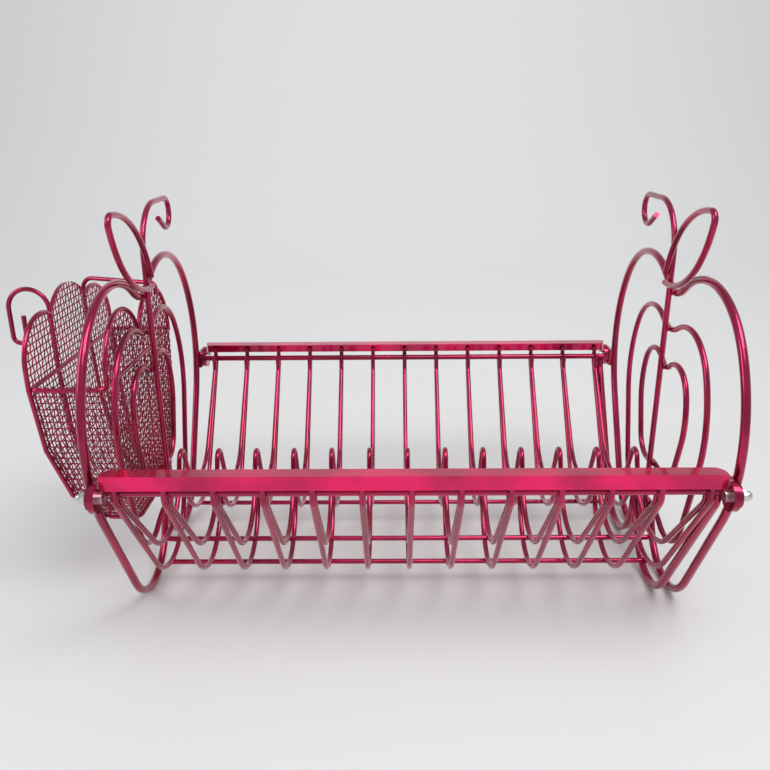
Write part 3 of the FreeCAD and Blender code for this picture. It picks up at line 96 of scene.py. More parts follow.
class CaddySettings(bpy.types.PropertyGroup):
    """Shape of the caddy's walls and of the mesh woven over them."""

    pitch: bpy.props.FloatProperty(
        name="Mesh pitch", description="Distance between neighbouring mesh wires",
        unit="LENGTH", subtype="DISTANCE", default=0.0049)
    thickness: bpy.props.FloatProperty(
        name="Mesh wire", description="Thickness of one mesh wire",
        unit="LENGTH", subtype="DISTANCE", default=0.00105)
    crimp: bpy.props.FloatProperty(
        name="Crimp", description="How far a mesh wire swings over and under its neighbours",
        unit="LENGTH", subtype="DISTANCE", default=0.00042)
    belly_height: bpy.props.FloatProperty(
        name="Belly height", description="Height of the lower kink in the walls",
        unit="LENGTH", subtype="DISTANCE", default=0.090)
    waist_height: bpy.props.FloatProperty(
        name="Waist height", description="Height of the upper kink in the walls",
        unit="LENGTH", subtype="DISTANCE", default=0.132)
    belly_share: bpy.props.FloatProperty(
        name="Belly narrowing", description="Part of the whole narrowing reached at the belly",
        subtype="FACTOR", min=0.0, max=1.0, default=0.45)
    waist_share: bpy.props.FloatProperty(
        name="Waist narrowing", description="Part of the whole narrowing reached at the waist",
        subtype="FACTOR", min=0.0, max=1.0, default=0.12)
    foot_depth: bpy.props.FloatProperty(
        name="Floor depth", description="Depth of the caddy at its floor",
        unit="LENGTH", subtype="DISTANCE", default=0.028)
    foot_half_width: bpy.props.FloatProperty(
        name="Floor half width", description="Half the caddy's width at its floor",
        unit="LENGTH", subtype="DISTANCE", default=0.046)
    corner: bpy.props.FloatProperty(
        name="Corner radius", description="Radius of the caddy's upright corners",
        unit="LENGTH", subtype="DISTANCE", default=0.004)
    valley_y: bpy.props.FloatProperty(
        name="Valley place", description="Distance of each dip in the edge from the middle",
        unit="LENGTH", subtype="DISTANCE", default=0.033)
    valley_z: bpy.props.FloatProperty(
        name="Valley height", description="Height of each dip in the edge",
        unit="LENGTH", subtype="DISTANCE", default=0.222)
    lobe_radius: bpy.props.FloatProperty(
        name="Middle lobe radius", description="Radius of the middle lobe of the edge",
        unit="LENGTH", subtype="DISTANCE", default=0.0405)
    shoulder_y: bpy.props.FloatProperty(
        name="Side lobe place", description="Distance of a side lobe's centre from the middle",
        unit="LENGTH", subtype="DISTANCE", default=0.050)
    shoulder_z: bpy.props.FloatProperty(
        name="Side lobe height", description="Height of a side lobe's centre",
        unit="LENGTH", subtype="DISTANCE", default=0.193)
    inner_lobe_y: bpy.props.FloatProperty(
        name="Inner lobe place", description="Distance of the inner wall's lobes from the middle",
        unit="LENGTH", subtype="DISTANCE", default=0.038)
    inner_lobe_z: bpy.props.FloatProperty(
        name="Inner lobe height", description="Height of the centres of the inner wall's lobes",
        unit="LENGTH", subtype="DISTANCE", default=0.186)
    inner_lobe_radius: bpy.props.FloatProperty(
        name="Inner lobe radius", description="Radius of the inner wall's two lobes",
        unit="LENGTH", subtype="DISTANCE", default=0.040)


class BeadSettings(bpy.types.PropertyGroup):
    """Sizes of the weld beads and rounded wire tips."""

    bead: bpy.props.FloatProperty(
        name="Bead", description="Half length of a weld bead where two wires cross",
        unit="LENGTH", subtype="DISTANCE", default=0.0021)
    tip: bpy.props.FloatProperty(
        name="Tip bulge", description="How far a rounded wire tip stands out",
        unit="LENGTH", subtype="DISTANCE", default=0.0011)


class StageSettings(bpy.types.PropertyGroup):
    """Floor, light and camera."""

    floor: bpy.props.FloatVectorProperty(
        name="Floor", description="Colour of the pale floor",
        subtype="COLOR", size=3, min=0.0, max=1.0, default=(0.82, 0.82, 0.82))
    sky: bpy.props.FloatVectorProperty(
        name="Room light", description="Colour of the soft light from all round",
        subtype="COLOR", size=3, min=0.0, max=1.0, default=(0.81, 0.82, 0.835))
    sky_strength: bpy.props.FloatProperty(
        name="Room light strength", description="Strength of the soft light from all round",
        min=0.0, default=0.65)
    key_power: bpy.props.FloatProperty(
        name="Key light", description="Power of the large light above", unit="POWER", default=14.0)
    camera_place: bpy.props.FloatVectorProperty(
        name="Camera place", description="Where the camera stands",
        unit="LENGTH", subtype="TRANSLATION", size=3, default=(-0.0116, -0.5841, 0.3572))
    camera_turn: bpy.props.FloatVectorProperty(
        name="Camera turn", description="Tilt up, turn about the upright, and roll of the camera",
        unit="ROTATION", subtype="EULER", size=3,
        default=(math.radians(70.78), math.radians(0.64), math.radians(-0.52)))
    lens: bpy.props.FloatProperty(
        name="Lens", description="Focal length on a sensor 36 mm wide", unit="CAMERA",
        default=35.81)


# ------------------------------------------------------------------ mesh helpers


def mesh_object(name, vertices, faces, body):
    """Put vertex and face arrays into a smooth mesh object that rides on a body."""
    mesh = bpy.data.meshes.new(name)
    mesh.from_pydata(vertices.reshape(-1, 3).tolist(), [], faces)
    mesh.polygons.foreach_set("use_smooth", np.ones(len(mesh.polygons), dtype=bool))
    mesh.update()
    piece = bpy.data.objects.new(name, mesh)
    bpy.context.scene.collection.objects.link(piece)
    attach(piece, body)
    return piece


def tube_mesh(paths, outwards, radius, sides, closed):
    """Round tubes along many paths of equal point count, as one vertex array and face list.

    paths and outwards are (wires, points, 3) arrays. A vertex is
    path + radius * (cos(a) * outward + sin(a) * (tangent x outward)), for a round the section.
    """
    if closed:
        tangents = np.roll(paths, -1, axis=1) - np.roll(paths, 1, axis=1)
    else:
        tangents = np.gradient(paths, axis=1)
    tangents /= np.linalg.norm(tangents, axis=2, keepdims=True)
    outwards = outwards - tangents * np.sum(outwards * tangents, axis=2, keepdims=True)
    outwards /= np.linalg.norm(outwards, axis=2, keepdims=True)
    across = np.cross(tangents, outwards)
    angles = np.arange(sides) * 2 * math.pi / sides
    spokes = (np.cos(angles)[:, None] * outwards[:, :, None, :]
              + np.sin(angles)[:, None] * across[:, :, None, :])
    vertices = paths[:, :, None, :] + radius * spokes
    wires, points = paths.shape[:2]
    index = np.arange(wires * points * sides).reshape(wires, points, sides)
    ahead = np.roll(index, -1, axis=1) if closed else index[:, 1:]
    here = index if closed else index[:, :-1]
    quads = np.stack([here, np.roll(here, -1, axis=2), np.roll(ahead, -1, axis=2), ahead], axis=3)
    faces = quads.reshape(-1, 4).tolist()
    if not closed:
        faces += index[:, 0, ::-1].tolist() + index[:, -1].tolist()
    return vertices.reshape(-1, 3), faces


def joined(parts):
    """Join (vertices, faces) pairs into one pair, moving each part's face numbers along."""
    vertices, faces, start = [], [], 0
    for part_vertices, part_faces in parts:
        vertices.append(part_vertices)
        faces += [[corner + start for corner in face] for face in part_faces]
        start += len(part_vertices)
    return np.concatenate(vertices), faces


def blobs(centres, radii, lumps):
    """Lumpy ellipsoids: centre + radii * unit * (1 + lumps * sin(3 * longitude) * cos(latitude)).

    centres and radii are (count, 3) arrays, unit is the point on a unit sphere, and each blob's
    longitude is turned by its own number so that no two match.
    """
    around, rows = 14, 7
    latitude = np.linspace(-math.pi / 2, math.pi / 2, rows + 2)[1:-1]
    longitude = np.arange(around) * 2 * math.pi / around
    lat, lon = np.meshgrid(latitude, longitude, indexing="ij")
    unit = np.stack([np.cos(lat) * np.cos(lon), np.cos(lat) * np.sin(lon), np.sin(lat)], axis=2)
    count = len(centres)
    turn = np.arange(count)[:, None, None] * 2.4
    wave = 1 + lumps * np.sin(3 * (lon + turn)) * np.cos(lat)
    body = centres[:, None, None, :] + radii[:, None, None, :] * unit * wave[..., None]
    poles = np.array([[0, 0, -1.0], [0, 0, 1.0]])
    ends = centres[:, None, :] + radii[:, None, :] * poles
    per = around * rows + 2
    vertices = np.concatenate([body.reshape(count, -1, 3), ends], axis=1).reshape(-1, 3)
    grid = np.arange(around * rows).reshape(rows, around)
    right = np.roll(grid, -1, axis=1)
    quads = np.stack([grid[:-1], right[:-1], right[1:], grid[1:]], axis=2).reshape(-1, 4)
    low = np.stack([np.full(around, per - 2), right[0], grid[0]], axis=1)
    high = np.stack([np.full(around, per - 1), grid[-1], right[-1]], axis=1)
    shift = (np.arange(count) * per)[:, None, None]
    faces = (quads[None] + shift).reshape(-1, 4).tolist()
    faces += (low[None] + shift).reshape(-1, 3).tolist()
    faces += (high[None] + shift).reshape(-1, 3).tolist()
    return vertices, faces


# ------------------------------------------------------------------ materials


def node_at(tree, kind, place, **inputs):
    node = tree.nodes.new(kind)
    node.location = place
    for name, value in inputs.items():
        node.inputs[name.replace("_", " ")].default_value = value
    return node


def candy_coat(name, light, deep, roughness, grain):
    """Metallic tinted coat under clear lacquer, pooled darker in places and faintly uneven."""
    material = bpy.data.materials.new(name)
    material.use_nodes = True
    tree = material.node_tree
    surface = tree.nodes["Principled BSDF"]
    surface.inputs["Metallic"].default_value = 0.93
    surface.inputs["Coat Weight"].default_value = 0.6
    surface.inputs["Coat Roughness"].default_value = 0.04
    surface.inputs["Coat IOR"].default_value = 1.55
    place = node_at(tree, "ShaderNodeTexCoord", (-1100, 0))
    pools = node_at(tree, "ShaderNodeTexNoise", (-850, 200), Scale=26.0, Detail=4.0)
    blend = tree.nodes.new("ShaderNodeMix")
    blend.data_type = "RGBA"
    blend.inputs["A"].default_value = (*deep, 1.0)
    blend.inputs["B"].default_value = (*light, 1.0)
    spread = node_at(tree, "ShaderNodeMapRange", (-600, 200))
    spread.inputs["From Min"].default_value = 0.32
    spread.inputs["From Max"].default_value = 0.62
    flecks = node_at(tree, "ShaderNodeTexNoise", (-850, -100), Scale=grain, Detail=2.0)
    polish = node_at(tree, "ShaderNodeMapRange", (-600, -100))
    polish.inputs["To Min"].default_value = roughness * 0.8
    polish.inputs["To Max"].default_value = roughness * 1.3
    peel = node_at(tree, "ShaderNodeTexNoise", (-850, -400), Scale=700.0, Detail=2.0)
    bump = node_at(tree, "ShaderNodeBump", (-350, -400), Strength=0.12, Distance=0.0003)
    link = tree.links.new
    for texture in (pools, flecks, peel):
        link(place.outputs["Object"], texture.inputs["Vector"])
    link(pools.outputs["Fac"], spread.inputs["Value"])
    link(spread.outputs["Result"], blend.inputs["Factor"])
    link(blend.outputs["Result"], surface.inputs["Base Color"])
    link(flecks.outputs["Fac"], polish.inputs["Value"])
    link(polish.outputs["Result"], surface.inputs["Roughness"])
    link(peel.outputs["Fac"], bump.inputs["Height"])
    link(bump.outputs["Normal"], surface.inputs["Normal"])
    return material


def plated_metal(name, colour):
    """Bright plating with fine turning marks and small dull patches."""
    material = bpy.data.materials.new(name)
    material.use_nodes = True
    tree = material.node_tree
    surface = tree.nodes["Principled BSDF"]
    surface.inputs["Metallic"].default_value = 1.0
    place = node_at(tree, "ShaderNodeTexCoord", (-1100, 0))
    patches = node_at(tree, "ShaderNodeTexNoise", (-850, 100), Scale=420.0, Detail=3.0)
    tint = tree.nodes.new("ShaderNodeMix")
    tint.data_type = "RGBA"
    tint.inputs["A"].default_value = (*[channel * 0.78 for channel in colour], 1.0)
    tint.inputs["B"].default_value = (*colour, 1.0)
    dull = node_at(tree, "ShaderNodeMapRange", (-600, -100))
    dull.inputs["To Min"].default_value = 0.16
    dull.inputs["To Max"].default_value = 0.34
    marks = node_at(tree, "ShaderNodeTexNoise", (-850, -350), Scale=1500.0, Detail=1.0)
    bump = node_at(tree, "ShaderNodeBump", (-350, -350), Strength=0.15, Distance=0.0001)
    link = tree.links.new
    link(place.outputs["Object"], patches.inputs["Vector"])
    link(place.outputs["Object"], marks.inputs["Vector"])
    link(patches.outputs["Fac"], tint.inputs["Factor"])
    link(tint.outputs["Result"], surface.inputs["Base Color"])
    link(patches.outputs["Fac"], dull.inputs["Value"])
    link(dull.outputs["Result"], surface.inputs["Roughness"])
    link(marks.outputs["Fac"], bump.inputs["Height"])
    link(bump.outputs["Normal"], surface.inputs["Normal"])
    return material


def coat_material():
    """The one coat used by every wire, made on first use."""
    found = bpy.data.materials.get("wire_coat")
    coats = bpy.context.scene.rack_coats
    return found or candy_coat("wire_coat", coats.coat, coats.coat_deep, coats.coat_roughness,
                               180.0)


def dress(node, material):
    """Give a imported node's object one material in all of its slots."""
    mesh = frame["nodes"][node].data
    mesh.materials.clear()
    mesh.materials.append(material)


class RACK_OT_coat_wires(bpy.types.Operator):
    """Coat every wire, eye and lug with the coloured metallic coat"""

    bl_idname = "rack.coat_wires"
    bl_label = "Coat the wires"

    def execute(self, context):
        coats = context.scene.rack_coats
        # The flat rail strips get the wire coat painted much lighter, a painted reflection of the
        # bright floor in their flat faces; the plain coat comes in as random darker pools.
        strip = candy_coat("rail_strip_coat_with_painted_reflection", coats.strip, coats.coat, coats.coat_roughness, 90.0)
        for part in frame["record"]["subparts"]:
            if part["material_slot"] == "fastener_metal":
                continue
            flat = part["node"].endswith("rail_channel")
            dress(part["node"], strip if flat else coat_material())
        return {"FINISHED"}


class RACK_OT_plate_fasteners(bpy.types.Operator):
    """Plate the screws, washers and cap nuts"""

    bl_idname = "rack.plate_fasteners"
    bl_label = "Plate the fasteners"

    def execute(self, context):
        plated = plated_metal("plated_fasteners", context.scene.rack_coats.metal)
        for part in frame["record"]["subparts"]:
            if part["material_slot"] == "fastener_metal":
                dress(part["node"], plated)
        return {"FINISHED"}


# ------------------------------------------------------------------ weld beads


def box_of(node):
    low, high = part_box(node)
    return np.array(low), np.array(high)


def wires_named(prefix):
    return sorted(node for node in frame["nodes"] if node.startswith(prefix))


class RACK_OT_weld_beads(bpy.types.Operator):
    """Put a small weld bead on every crossing of wires and rails"""

    bl_idname = "rack.weld_beads"
    bl_label = "Weld beads"

    def execute(self, context):
        size = context.scene.rack_beads.bead
        rail = (ROD_LOW + ROD_HIGH) / 2
        rod = (ROD_HIGH[2] - ROD_LOW[2]) / 2
        spots, radii = [], []
        for row, out in (("outer_wire_", 1), ("inner_wire_", -1)):
            support_low, support_high = box_of("back_" + row.replace("wire_", "support_rod"))
            for node in wires_named(row):
                low, high = box_of(node)
                x = (low[0] + high[0]) / 2
                for side in (-1, 1):
                    spots.append((x, side * (rail[1] + out * rod), rail[2]))
                    radii.append((size * 1.15, size * 0.75, size))
                    spots.append((x, side * (support_low[1] + support_high[1]) / 2,
                                  support_high[2]))
                    radii.append((size, size, size * 0.6))
        for side in ("left", "right"):
            stem_low, stem_high = box_of(side + "_stem")
            sign = -1 if side == "left" else 1
            face = stem_high[0] if sign > 0 else stem_low[0]
            for outline in ("outer", "middle", "inner"):
                low, high = box_of("%s_%s_outline" % (side, outline))
                wire = (high[0] - low[0]) / 2
                for height in dip_heights(side + "_" + outline + "_outline", wire):
                    spots.append((face, 0.0, height))
                    radii.append((size * 0.7, size * 1.2, size * 1.2))
        vertices, faces = blobs(np.array(spots), np.array(radii), LUMPS)
        piece = mesh_object("weld_beads", vertices, faces, RACK)
        piece.data.materials.append(coat_material())
        return {"FINISHED"}


def dip_heights(node, wire):
    """Heights of an outline's axis where it crosses the middle, at its top and bottom dips."""
    mesh = frame["nodes"][node].data
    points = np.empty(len(mesh.vertices) * 3)
    mesh.vertices.foreach_get("co", points)
    points = points.reshape(-1, 3)
    near = points[np.abs(points[:, 1]) < wire]
    middle = (near[:, 2].min() + near[:, 2].max()) / 2
    heights = []
    for half in (near[near[:, 2] > middle], near[near[:, 2] <= middle]):
        heights.append((half[:, 2].min() + half[:, 2].max()) / 2)
    return heights


class RACK_OT_round_tips(bpy.types.Operator):
    """Round off the cut ends of the wires and bars"""

    bl_idname = "rack.round_tips"
    bl_label = "Round the wire tips"

    def execute(self, context):
        bulge = context.scene.rack_beads.tip
        spots, radii = [], []
        for row in ("outer_wire_", "inner_wire_"):
            for node in wires_named(row):
                low, high = box_of(node)
                wire = (high[0] - low[0]) / 2
                for y in (low[1] + wire, high[1] - wire):
                    spots.append(((low[0] + high[0]) / 2, y, high[2]))
                    radii.append((wire * 0.99, wire * 0.99, bulge))
        for side in ("front", "back"):
            for row in ("outer", "inner"):
                low, high = box_of("%s_%s_support_rod" % (side, row))
                wire = (high[2] - low[2]) / 2
                for x in (low[0], high[0]):
                    spots.append((x, (low[1] + high[1]) / 2, (low[2] + high[2]) / 2))
                    radii.append((bulge * 0.5, wire * 0.99, wire * 0.99))
        vertices, faces = blobs(np.array(spots), np.array(radii), 0.0)
        piece = mesh_object("rounded_tips", vertices, faces, RACK)
        piece.data.materials.append(coat_material())
        return {"FINISHED"}


# ------------------------------------------------------------------ caddy mesh


class CaddyWalls:
    """The caddy's walls at mid thickness, as functions of turns round the wall and height."""

    def __init__(self, shape):
        self.shape = shape
        self.x = BASKET_HIGH[0]
        self.depth = BASKET_HIGH[0] - BASKET_LOW[0]
        self.half = (BASKET_HIGH[1] - BASKET_LOW[1]) / 2
        self.floor = BASKET_LOW[2]
        self.rim = (RIM_LOW[2] + RIM_HIGH[2]) / 2
        self.wide = 2 * round(self.half / shape.pitch)
        self.deep = 2 * round(self.depth / shape.pitch / 2)
        self.total = 2 * (self.wide + self.deep)
        self.skin = SHEET_HALF

    def sizes(self, height):
        """Depth and half width, both narrowed in proportion to the share at that height."""
        shape = self.shape
        share = np.interp(height, [self.floor, shape.belly_height, shape.waist_height, self.rim],
                          [1.0, shape.belly_share, shape.waist_share, 0.0])
        depth = self.depth - share * (self.depth - shape.foot_depth) - 2 * self.skin
        half = self.half - share * (self.half - shape.foot_half_width) - self.skin
        return depth, half

    def at(self, turn, height):
        """Point and outward direction: a rectangle's edge pulled onto rounded corners.

        turn counts mesh wires round the wall: outer wall, back side, inner wall, front side.
        """
        depth, half = self.sizes(height)
        turn = np.mod(turn, self.total)
        stops = np.cumsum([0, self.wide, self.deep, self.wide, self.deep])
        along = np.interp(turn, stops, [-1.0, 1.0, 1.0, -1.0, -1.0])
        inward = np.interp(turn, stops, [-1.0, -1.0, 1.0, 1.0, -1.0])
        spot = np.stack([inward * depth / 2, along * half], axis=-1)
        corner = self.shape.corner
        core = np.stack([depth / 2 - corner, half - corner], axis=-1)
        inner = np.clip(spot, -core, core)
        out = spot - inner
        out = out / np.maximum(np.linalg.norm(out, axis=-1, keepdims=True), 1e-9)
        flat = inner + out * corner
        zeros = np.zeros_like(depth)
        point = np.stack([self.x - self.skin - depth / 2 + flat[..., 0], flat[..., 1],
                          height + zeros], axis=-1)
        return point, np.stack([out[..., 0], out[..., 1], zeros], axis=-1)

    def edge(self, y):
        """Height of the scalloped edge: the higher of the middle lobe and the side lobes."""
        shape = self.shape
        lobe_z = shape.valley_z - math.sqrt(shape.lobe_radius ** 2 - shape.valley_y ** 2)
        side = math.hypot(shape.shoulder_y - shape.valley_y, shape.shoulder_z - shape.valley_z)
        middle = lobe_z + np.sqrt(np.maximum(shape.lobe_radius ** 2 - y ** 2, 0))
        away = np.abs(np.abs(y) - shape.shoulder_y)
        shoulder = shape.shoulder_z + np.sqrt(np.maximum(side ** 2 - away ** 2, 0))
        return np.where(np.abs(y) < shape.valley_y, middle, shoulder)

    def inner_edge(self, y):
        """Height of the inner wall's edge: two equal lobes that meet in the middle."""
        shape = self.shape
        away = np.abs(np.abs(y) - shape.inner_lobe_y)
        return shape.inner_lobe_z + np.sqrt(np.maximum(shape.inner_lobe_radius ** 2 - away ** 2,
                                                       0))

    def spans(self, edge, height):
        """Stretches of y where a wall with this edge reaches a height above the rim."""
        y = np.linspace(-self.half, self.half, 3361)
        inside = edge(y) > height
        changes = np.flatnonzero(np.diff(np.concatenate([[0], inside.astype(int), [0]])))
        return [(y[start], y[end - 1]) for start, end in changes.reshape(-1, 2)]


def mesh_wires(walls, samples):
    """Mesh wires of the walls up to the rim: rings round the walls and uprights.

    A ring's swing is crimp * cos(pi * (turn + row)), and an upright's is
    -crimp * cos(pi * (row + turn)), so that each goes over what the other goes under.
    """
    shape = walls.shape
    crimp, radius = shape.crimp, shape.thickness / 2
    parts = []
    rows = int((walls.rim - walls.floor) / shape.pitch)
    pitch = (walls.rim - walls.floor) / rows
    turns = np.arange(walls.total * samples) / samples
    row = np.arange(rows + 1)
    turn, number = np.meshgrid(turns, row)
    point, out = walls.at(turn, walls.floor + number * pitch)
    swing = crimp * np.cos(math.pi * (turn + number))
    parts.append(tube_mesh(point + out * swing[..., None], out, radius, MESH_SIDES, True))

    steps = np.arange(rows * samples + 1) / samples
    number, turn = np.meshgrid(steps, np.arange(walls.total))
    point, out = walls.at(turn, walls.floor + number * pitch)
    swing = -crimp * np.cos(math.pi * (turn + number))
    parts.append(tube_mesh(point + out * swing[..., None], out, radius, MESH_SIDES, False))
    return parts, pitch, rows


def tall_wall_wires(walls, samples, pitch, rows, edge, x_wall, side):
    """One tall wall's mesh above the rim, cut off at its edge; side is its outward sign in x."""
    shape = walls.shape
    crimp, radius = shape.crimp, shape.thickness / 2
    parts = []
    half = walls.half - walls.skin
    for number in range(rows + 1, rows + 40):
        height = walls.floor + number * pitch
        for low, high in walls.spans(edge, height):
            if high - low < pitch / 2:
                continue
            count = max(4, int((high - low) / pitch * samples))
            y = np.linspace(low, high, count)
            turn = (y + half) / (2 * half) * walls.wide
            x = np.full(count, x_wall)
            point = np.stack([x, y, np.full(count, height)], axis=-1)
            out = np.tile([side, 0.0, 0.0], (count, 1))
            swing = crimp * np.cos(math.pi * (turn + number))
            path = point + out * swing[:, None]
            parts.append(tube_mesh(path[None], out[None], radius, MESH_SIDES, False))
    turn = np.arange(1, walls.wide)
    y = -half + turn / walls.wide * 2 * half
    top = edge(y)
    count = int((top.max() - walls.rim) / pitch * samples)
    share = np.linspace(0.0, 1.0, count)
    height = walls.rim + share[None, :] * (top - walls.rim)[:, None]
    point = np.stack([np.full_like(height, x_wall),
                      np.repeat(y[:, None], count, axis=1), height], axis=-1)
    out = np.zeros_like(point)
    out[..., 0] = side
    phase = (height - walls.floor) / pitch
    swing = -crimp * np.cos(math.pi * (turn[:, None] + phase))
    parts.append(tube_mesh(point + out * swing[..., None], out, radius, MESH_SIDES, False))
    return parts


def floor_wires(walls, samples):
    """The caddy floor's mesh: two crossing sets of straight crimped wires."""
    shape = walls.shape
    crimp, radius = shape.crimp, shape.thickness / 2
    depth, half = walls.sizes(np.array([walls.floor]))
    depth, half = float(depth[0]), float(half[0])
    middle = walls.x - walls.skin - depth / 2
    parts = []
    for run, other, axis in ((depth / 2, half, 0), (half, depth / 2, 1)):
        lines = int(2 * other / shape.pitch)
        count = int(2 * run / shape.pitch) * samples
        offset = (np.arange(1, lines) - lines / 2) * shape.pitch
        along = np.linspace(-run, run, count)
        a, b = np.meshgrid(along, offset)
        swing = crimp * (1 if axis else -1) * np.cos(math.pi * (a + b) / shape.pitch)
        x, y = (a, b) if axis == 0 else (b, a)
        point = np.stack([middle + x, y, walls.floor + walls.skin + swing], axis=-1)
        out = np.zeros_like(point)
        out[..., 2] = 1.0
        parts.append(tube_mesh(point, out, radius, MESH_SIDES, False))
    return parts


class RACK_OT_weave_caddy(bpy.types.Operator):
    """Weave the wire mesh of the utensil caddy over its plain shell"""

    bl_idname = "rack.weave_caddy"
    bl_label = "Weave the caddy mesh"

    def execute(self, context):
        walls = CaddyWalls(context.scene.rack_caddy)
        pocket, pitch, rows = mesh_wires(walls, MESH_SAMPLES)
        vertices, faces = joined(pocket)
        piece = mesh_object("caddy_mesh_pocket", vertices, faces, CADDY)
        piece.data.materials.append(coat_material())
        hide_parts("caddy_basket")
        outer = tall_wall_wires(walls, MESH_SAMPLES, pitch, rows, walls.edge,
                                walls.x - walls.depth + walls.skin, -1.0)
        inner = tall_wall_wires(walls, MESH_SAMPLES, pitch, rows, walls.inner_edge,
                                walls.x - walls.skin, 1.0)
        vertices, faces = joined(outer + inner + floor_wires(walls, MESH_SAMPLES))
        tall = mesh_object("caddy_mesh_tall_walls_and_floor", vertices, faces, CADDY)
        tall.data.materials.append(coat_material())
        return {"FINISHED"}


class RACK_OT_wrap_caddy_rim(bpy.types.Operator):
    """Wrap the ends of the mesh wires over the caddy's rim"""

    bl_idname = "rack.wrap_caddy_rim"
    bl_label = "Wrap the mesh over the rim"

    def execute(self, context):
        walls = CaddyWalls(context.scene.rack_caddy)
        shape = context.scene.rack_caddy
        rim = (RIM_HIGH[2] - RIM_LOW[2]) / 2
        turn = np.concatenate([np.arange(walls.wide + 1, walls.wide + walls.deep),
                               np.arange(2 * walls.wide + walls.deep + 1, walls.total)])
        point, out = walls.at(turn, np.full(len(turn), walls.rim))
        angle = np.linspace(math.radians(-60), math.radians(215), 12)
        loop = rim + shape.thickness * 0.45
        up = np.array([0.0, 0.0, 1.0])
        spokes = (np.cos(angle)[None, :, None] * out[:, None, :]
                  + np.sin(angle)[None, :, None] * up)
        paths = point[:, None, :] + spokes * loop
        vertices, faces = tube_mesh(paths, spokes, shape.thickness / 2, MESH_SIDES, False)
        piece = mesh_object("caddy_rim_wraps", vertices, faces, CADDY)
        piece.data.materials.append(coat_material())
        return {"FINISHED"}


# ------------------------------------------------------------------ stage


def soft_light(name, place, target, width, power, colour):
    light = bpy.data.lights.new(name, "AREA")
    light.shape = "RECTANGLE"
    light.size, light.size_y = width
    light.energy = power
    light.color = colour
    lamp = bpy.data.objects.new(name, light)
    lamp.location = place
    lamp.rotation_euler = (Vector(target) - Vector(place)).to_track_quat("-Z", "Y").to_euler()
    bpy.context.scene.collection.objects.link(lamp)


def pale_floor(colour):
    """Matt pale board with very faint clouding."""
    material = bpy.data.materials.new("pale_floor")
    material.use_nodes = True
    tree = material.node_tree
    surface = tree.nodes["Principled BSDF"]
    surface.inputs["Roughness"].default_value = 0.42
    place = node_at(tree, "ShaderNodeTexCoord", (-900, 0))
    clouds = node_at(tree, "ShaderNodeTexNoise", (-700, 0), Scale=2.5, Detail=3.0)
    tint = tree.nodes.new("ShaderNodeMix")
    tint.data_type = "RGBA"
    tint.inputs["A"].default_value = (*[channel * 0.985 for channel in colour], 1.0)
    tint.inputs["B"].default_value = (*colour, 1.0)
    tree.links.new(place.outputs["Object"], clouds.inputs["Vector"])
    tree.links.new(clouds.outputs["Fac"], tint.inputs["Factor"])
    tree.links.new(tint.outputs["Result"], surface.inputs["Base Color"])
    return material


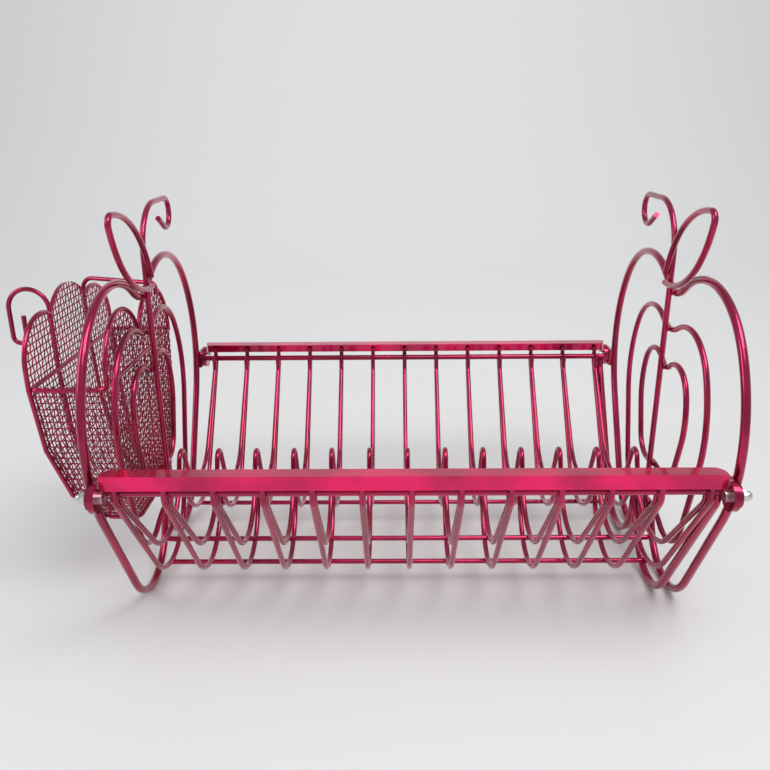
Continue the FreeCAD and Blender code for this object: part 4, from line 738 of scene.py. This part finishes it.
class RACK_OT_set_stage(bpy.types.Operator):
    """Lay the pale floor, hang the lights and place the camera"""

    bl_idname = "rack.set_stage"
    bl_label = "Set the stage"

    def execute(self, context):
        stage = context.scene.rack_stage
        # Flat in front, then a quarter-circle sweep up into the backdrop.
        angle = np.linspace(0.0, math.pi / 2, 17)
        y = np.concatenate([[-4.0, 1.2], 1.2 + 1.5 * np.sin(angle)[1:], [2.7]])
        z = np.concatenate([[0.0, 0.0], 1.5 - 1.5 * np.cos(angle)[1:], [5.0]])
        x = np.array([-5.0, 5.0])
        vertices = np.stack([np.tile(x, len(y)), np.repeat(y, 2), np.repeat(z, 2)], axis=-1)
        index = np.arange(len(y) * 2).reshape(-1, 2)
        faces = np.stack([index[:-1, 0], index[:-1, 1], index[1:, 1], index[1:, 0]], axis=-1)
        mesh = bpy.data.meshes.new("backdrop")
        mesh.from_pydata(vertices.tolist(), [], faces.tolist())
        mesh.polygons.foreach_set("use_smooth", np.ones(len(mesh.polygons), dtype=bool))
        mesh.materials.append(pale_floor(stage.floor))
        backdrop = bpy.data.objects.new("backdrop", mesh)
        context.scene.collection.objects.link(backdrop)

        world = bpy.data.worlds.new("room")
        world.use_nodes = True
        sky = world.node_tree.nodes["Background"]
        sky.inputs["Color"].default_value = (*stage.sky, 1.0)
        sky.inputs["Strength"].default_value = stage.sky_strength
        context.scene.world = world
        soft_light("key_light", (0.5, -0.6, 1.5), (0.0, 0.0, 0.1), (1.2, 0.8), stage.key_power,
                   (1.0, 0.99, 0.98))
        soft_light("side_light", (-1.3, -0.5, 0.9), (0.0, 0.0, 0.1), (0.5, 0.9),
                   stage.key_power * 0.35, (0.95, 0.97, 1.0))
        soft_light("backdrop_light", (0.0, 1.0, 1.7), (0.0, 2.4, 0.7), (2.6, 0.8),
                   stage.key_power * 0.8, (1.0, 1.0, 1.0))

        lens = bpy.data.cameras.new("camera")
        lens.lens = stage.lens
        lens.sensor_width = 36.0
        lens.clip_start = 0.01
        camera = bpy.data.objects.new("camera", lens)
        tilt, turn, roll = stage.camera_turn
        camera.matrix_world = (Matrix.Translation(Vector(stage.camera_place))
                               @ Matrix.Rotation(turn, 4, "Z") @ Matrix.Rotation(tilt, 4, "X")
                               @ Matrix.Rotation(roll, 4, "Z"))
        context.scene.collection.objects.link(camera)
        context.scene.camera = camera
        context.scene.view_settings.view_transform = "Standard"
        return {"FINISHED"}


class RACK_PT_looks(bpy.types.Panel):
    """Lists the rack's steps and settings"""

    bl_idname = "RACK_PT_looks"
    bl_label = "Dish Rack"
    bl_space_type = "VIEW_3D"
    bl_region_type = "UI"
    bl_category = "Dish Rack"

    def draw(self, context):
        layout = self.layout
        for step in STEPS:
            layout.operator(step.bl_idname)
        for name in SETTINGS:
            group = getattr(context.scene, name)
            box = layout.box()
            for field in group.__annotations__:
                box.prop(group, field)


STEPS = (RACK_OT_coat_wires, RACK_OT_plate_fasteners, RACK_OT_weld_beads, RACK_OT_round_tips,
         RACK_OT_weave_caddy, RACK_OT_wrap_caddy_rim, RACK_OT_set_stage)
SETTINGS = {"rack_coats": CoatSettings, "rack_caddy": CaddySettings,
            "rack_beads": BeadSettings, "rack_stage": StageSettings}


def register():
    for item in (*SETTINGS.values(), *STEPS, RACK_PT_looks):
        bpy.utils.register_class(item)
    for name, group in SETTINGS.items():
        setattr(bpy.types.Scene, name, bpy.props.PointerProperty(type=group))


def unregister():
    for name in SETTINGS:
        delattr(bpy.types.Scene, name)
    for item in reversed((*SETTINGS.values(), *STEPS, RACK_PT_looks)):
        bpy.utils.unregister_class(item)


def main():
    register()
    for step in STEPS:
        group, action = step.bl_idname.split(".")
        getattr(getattr(bpy.ops, group), action)()


if __name__ == "__main__":
    main()
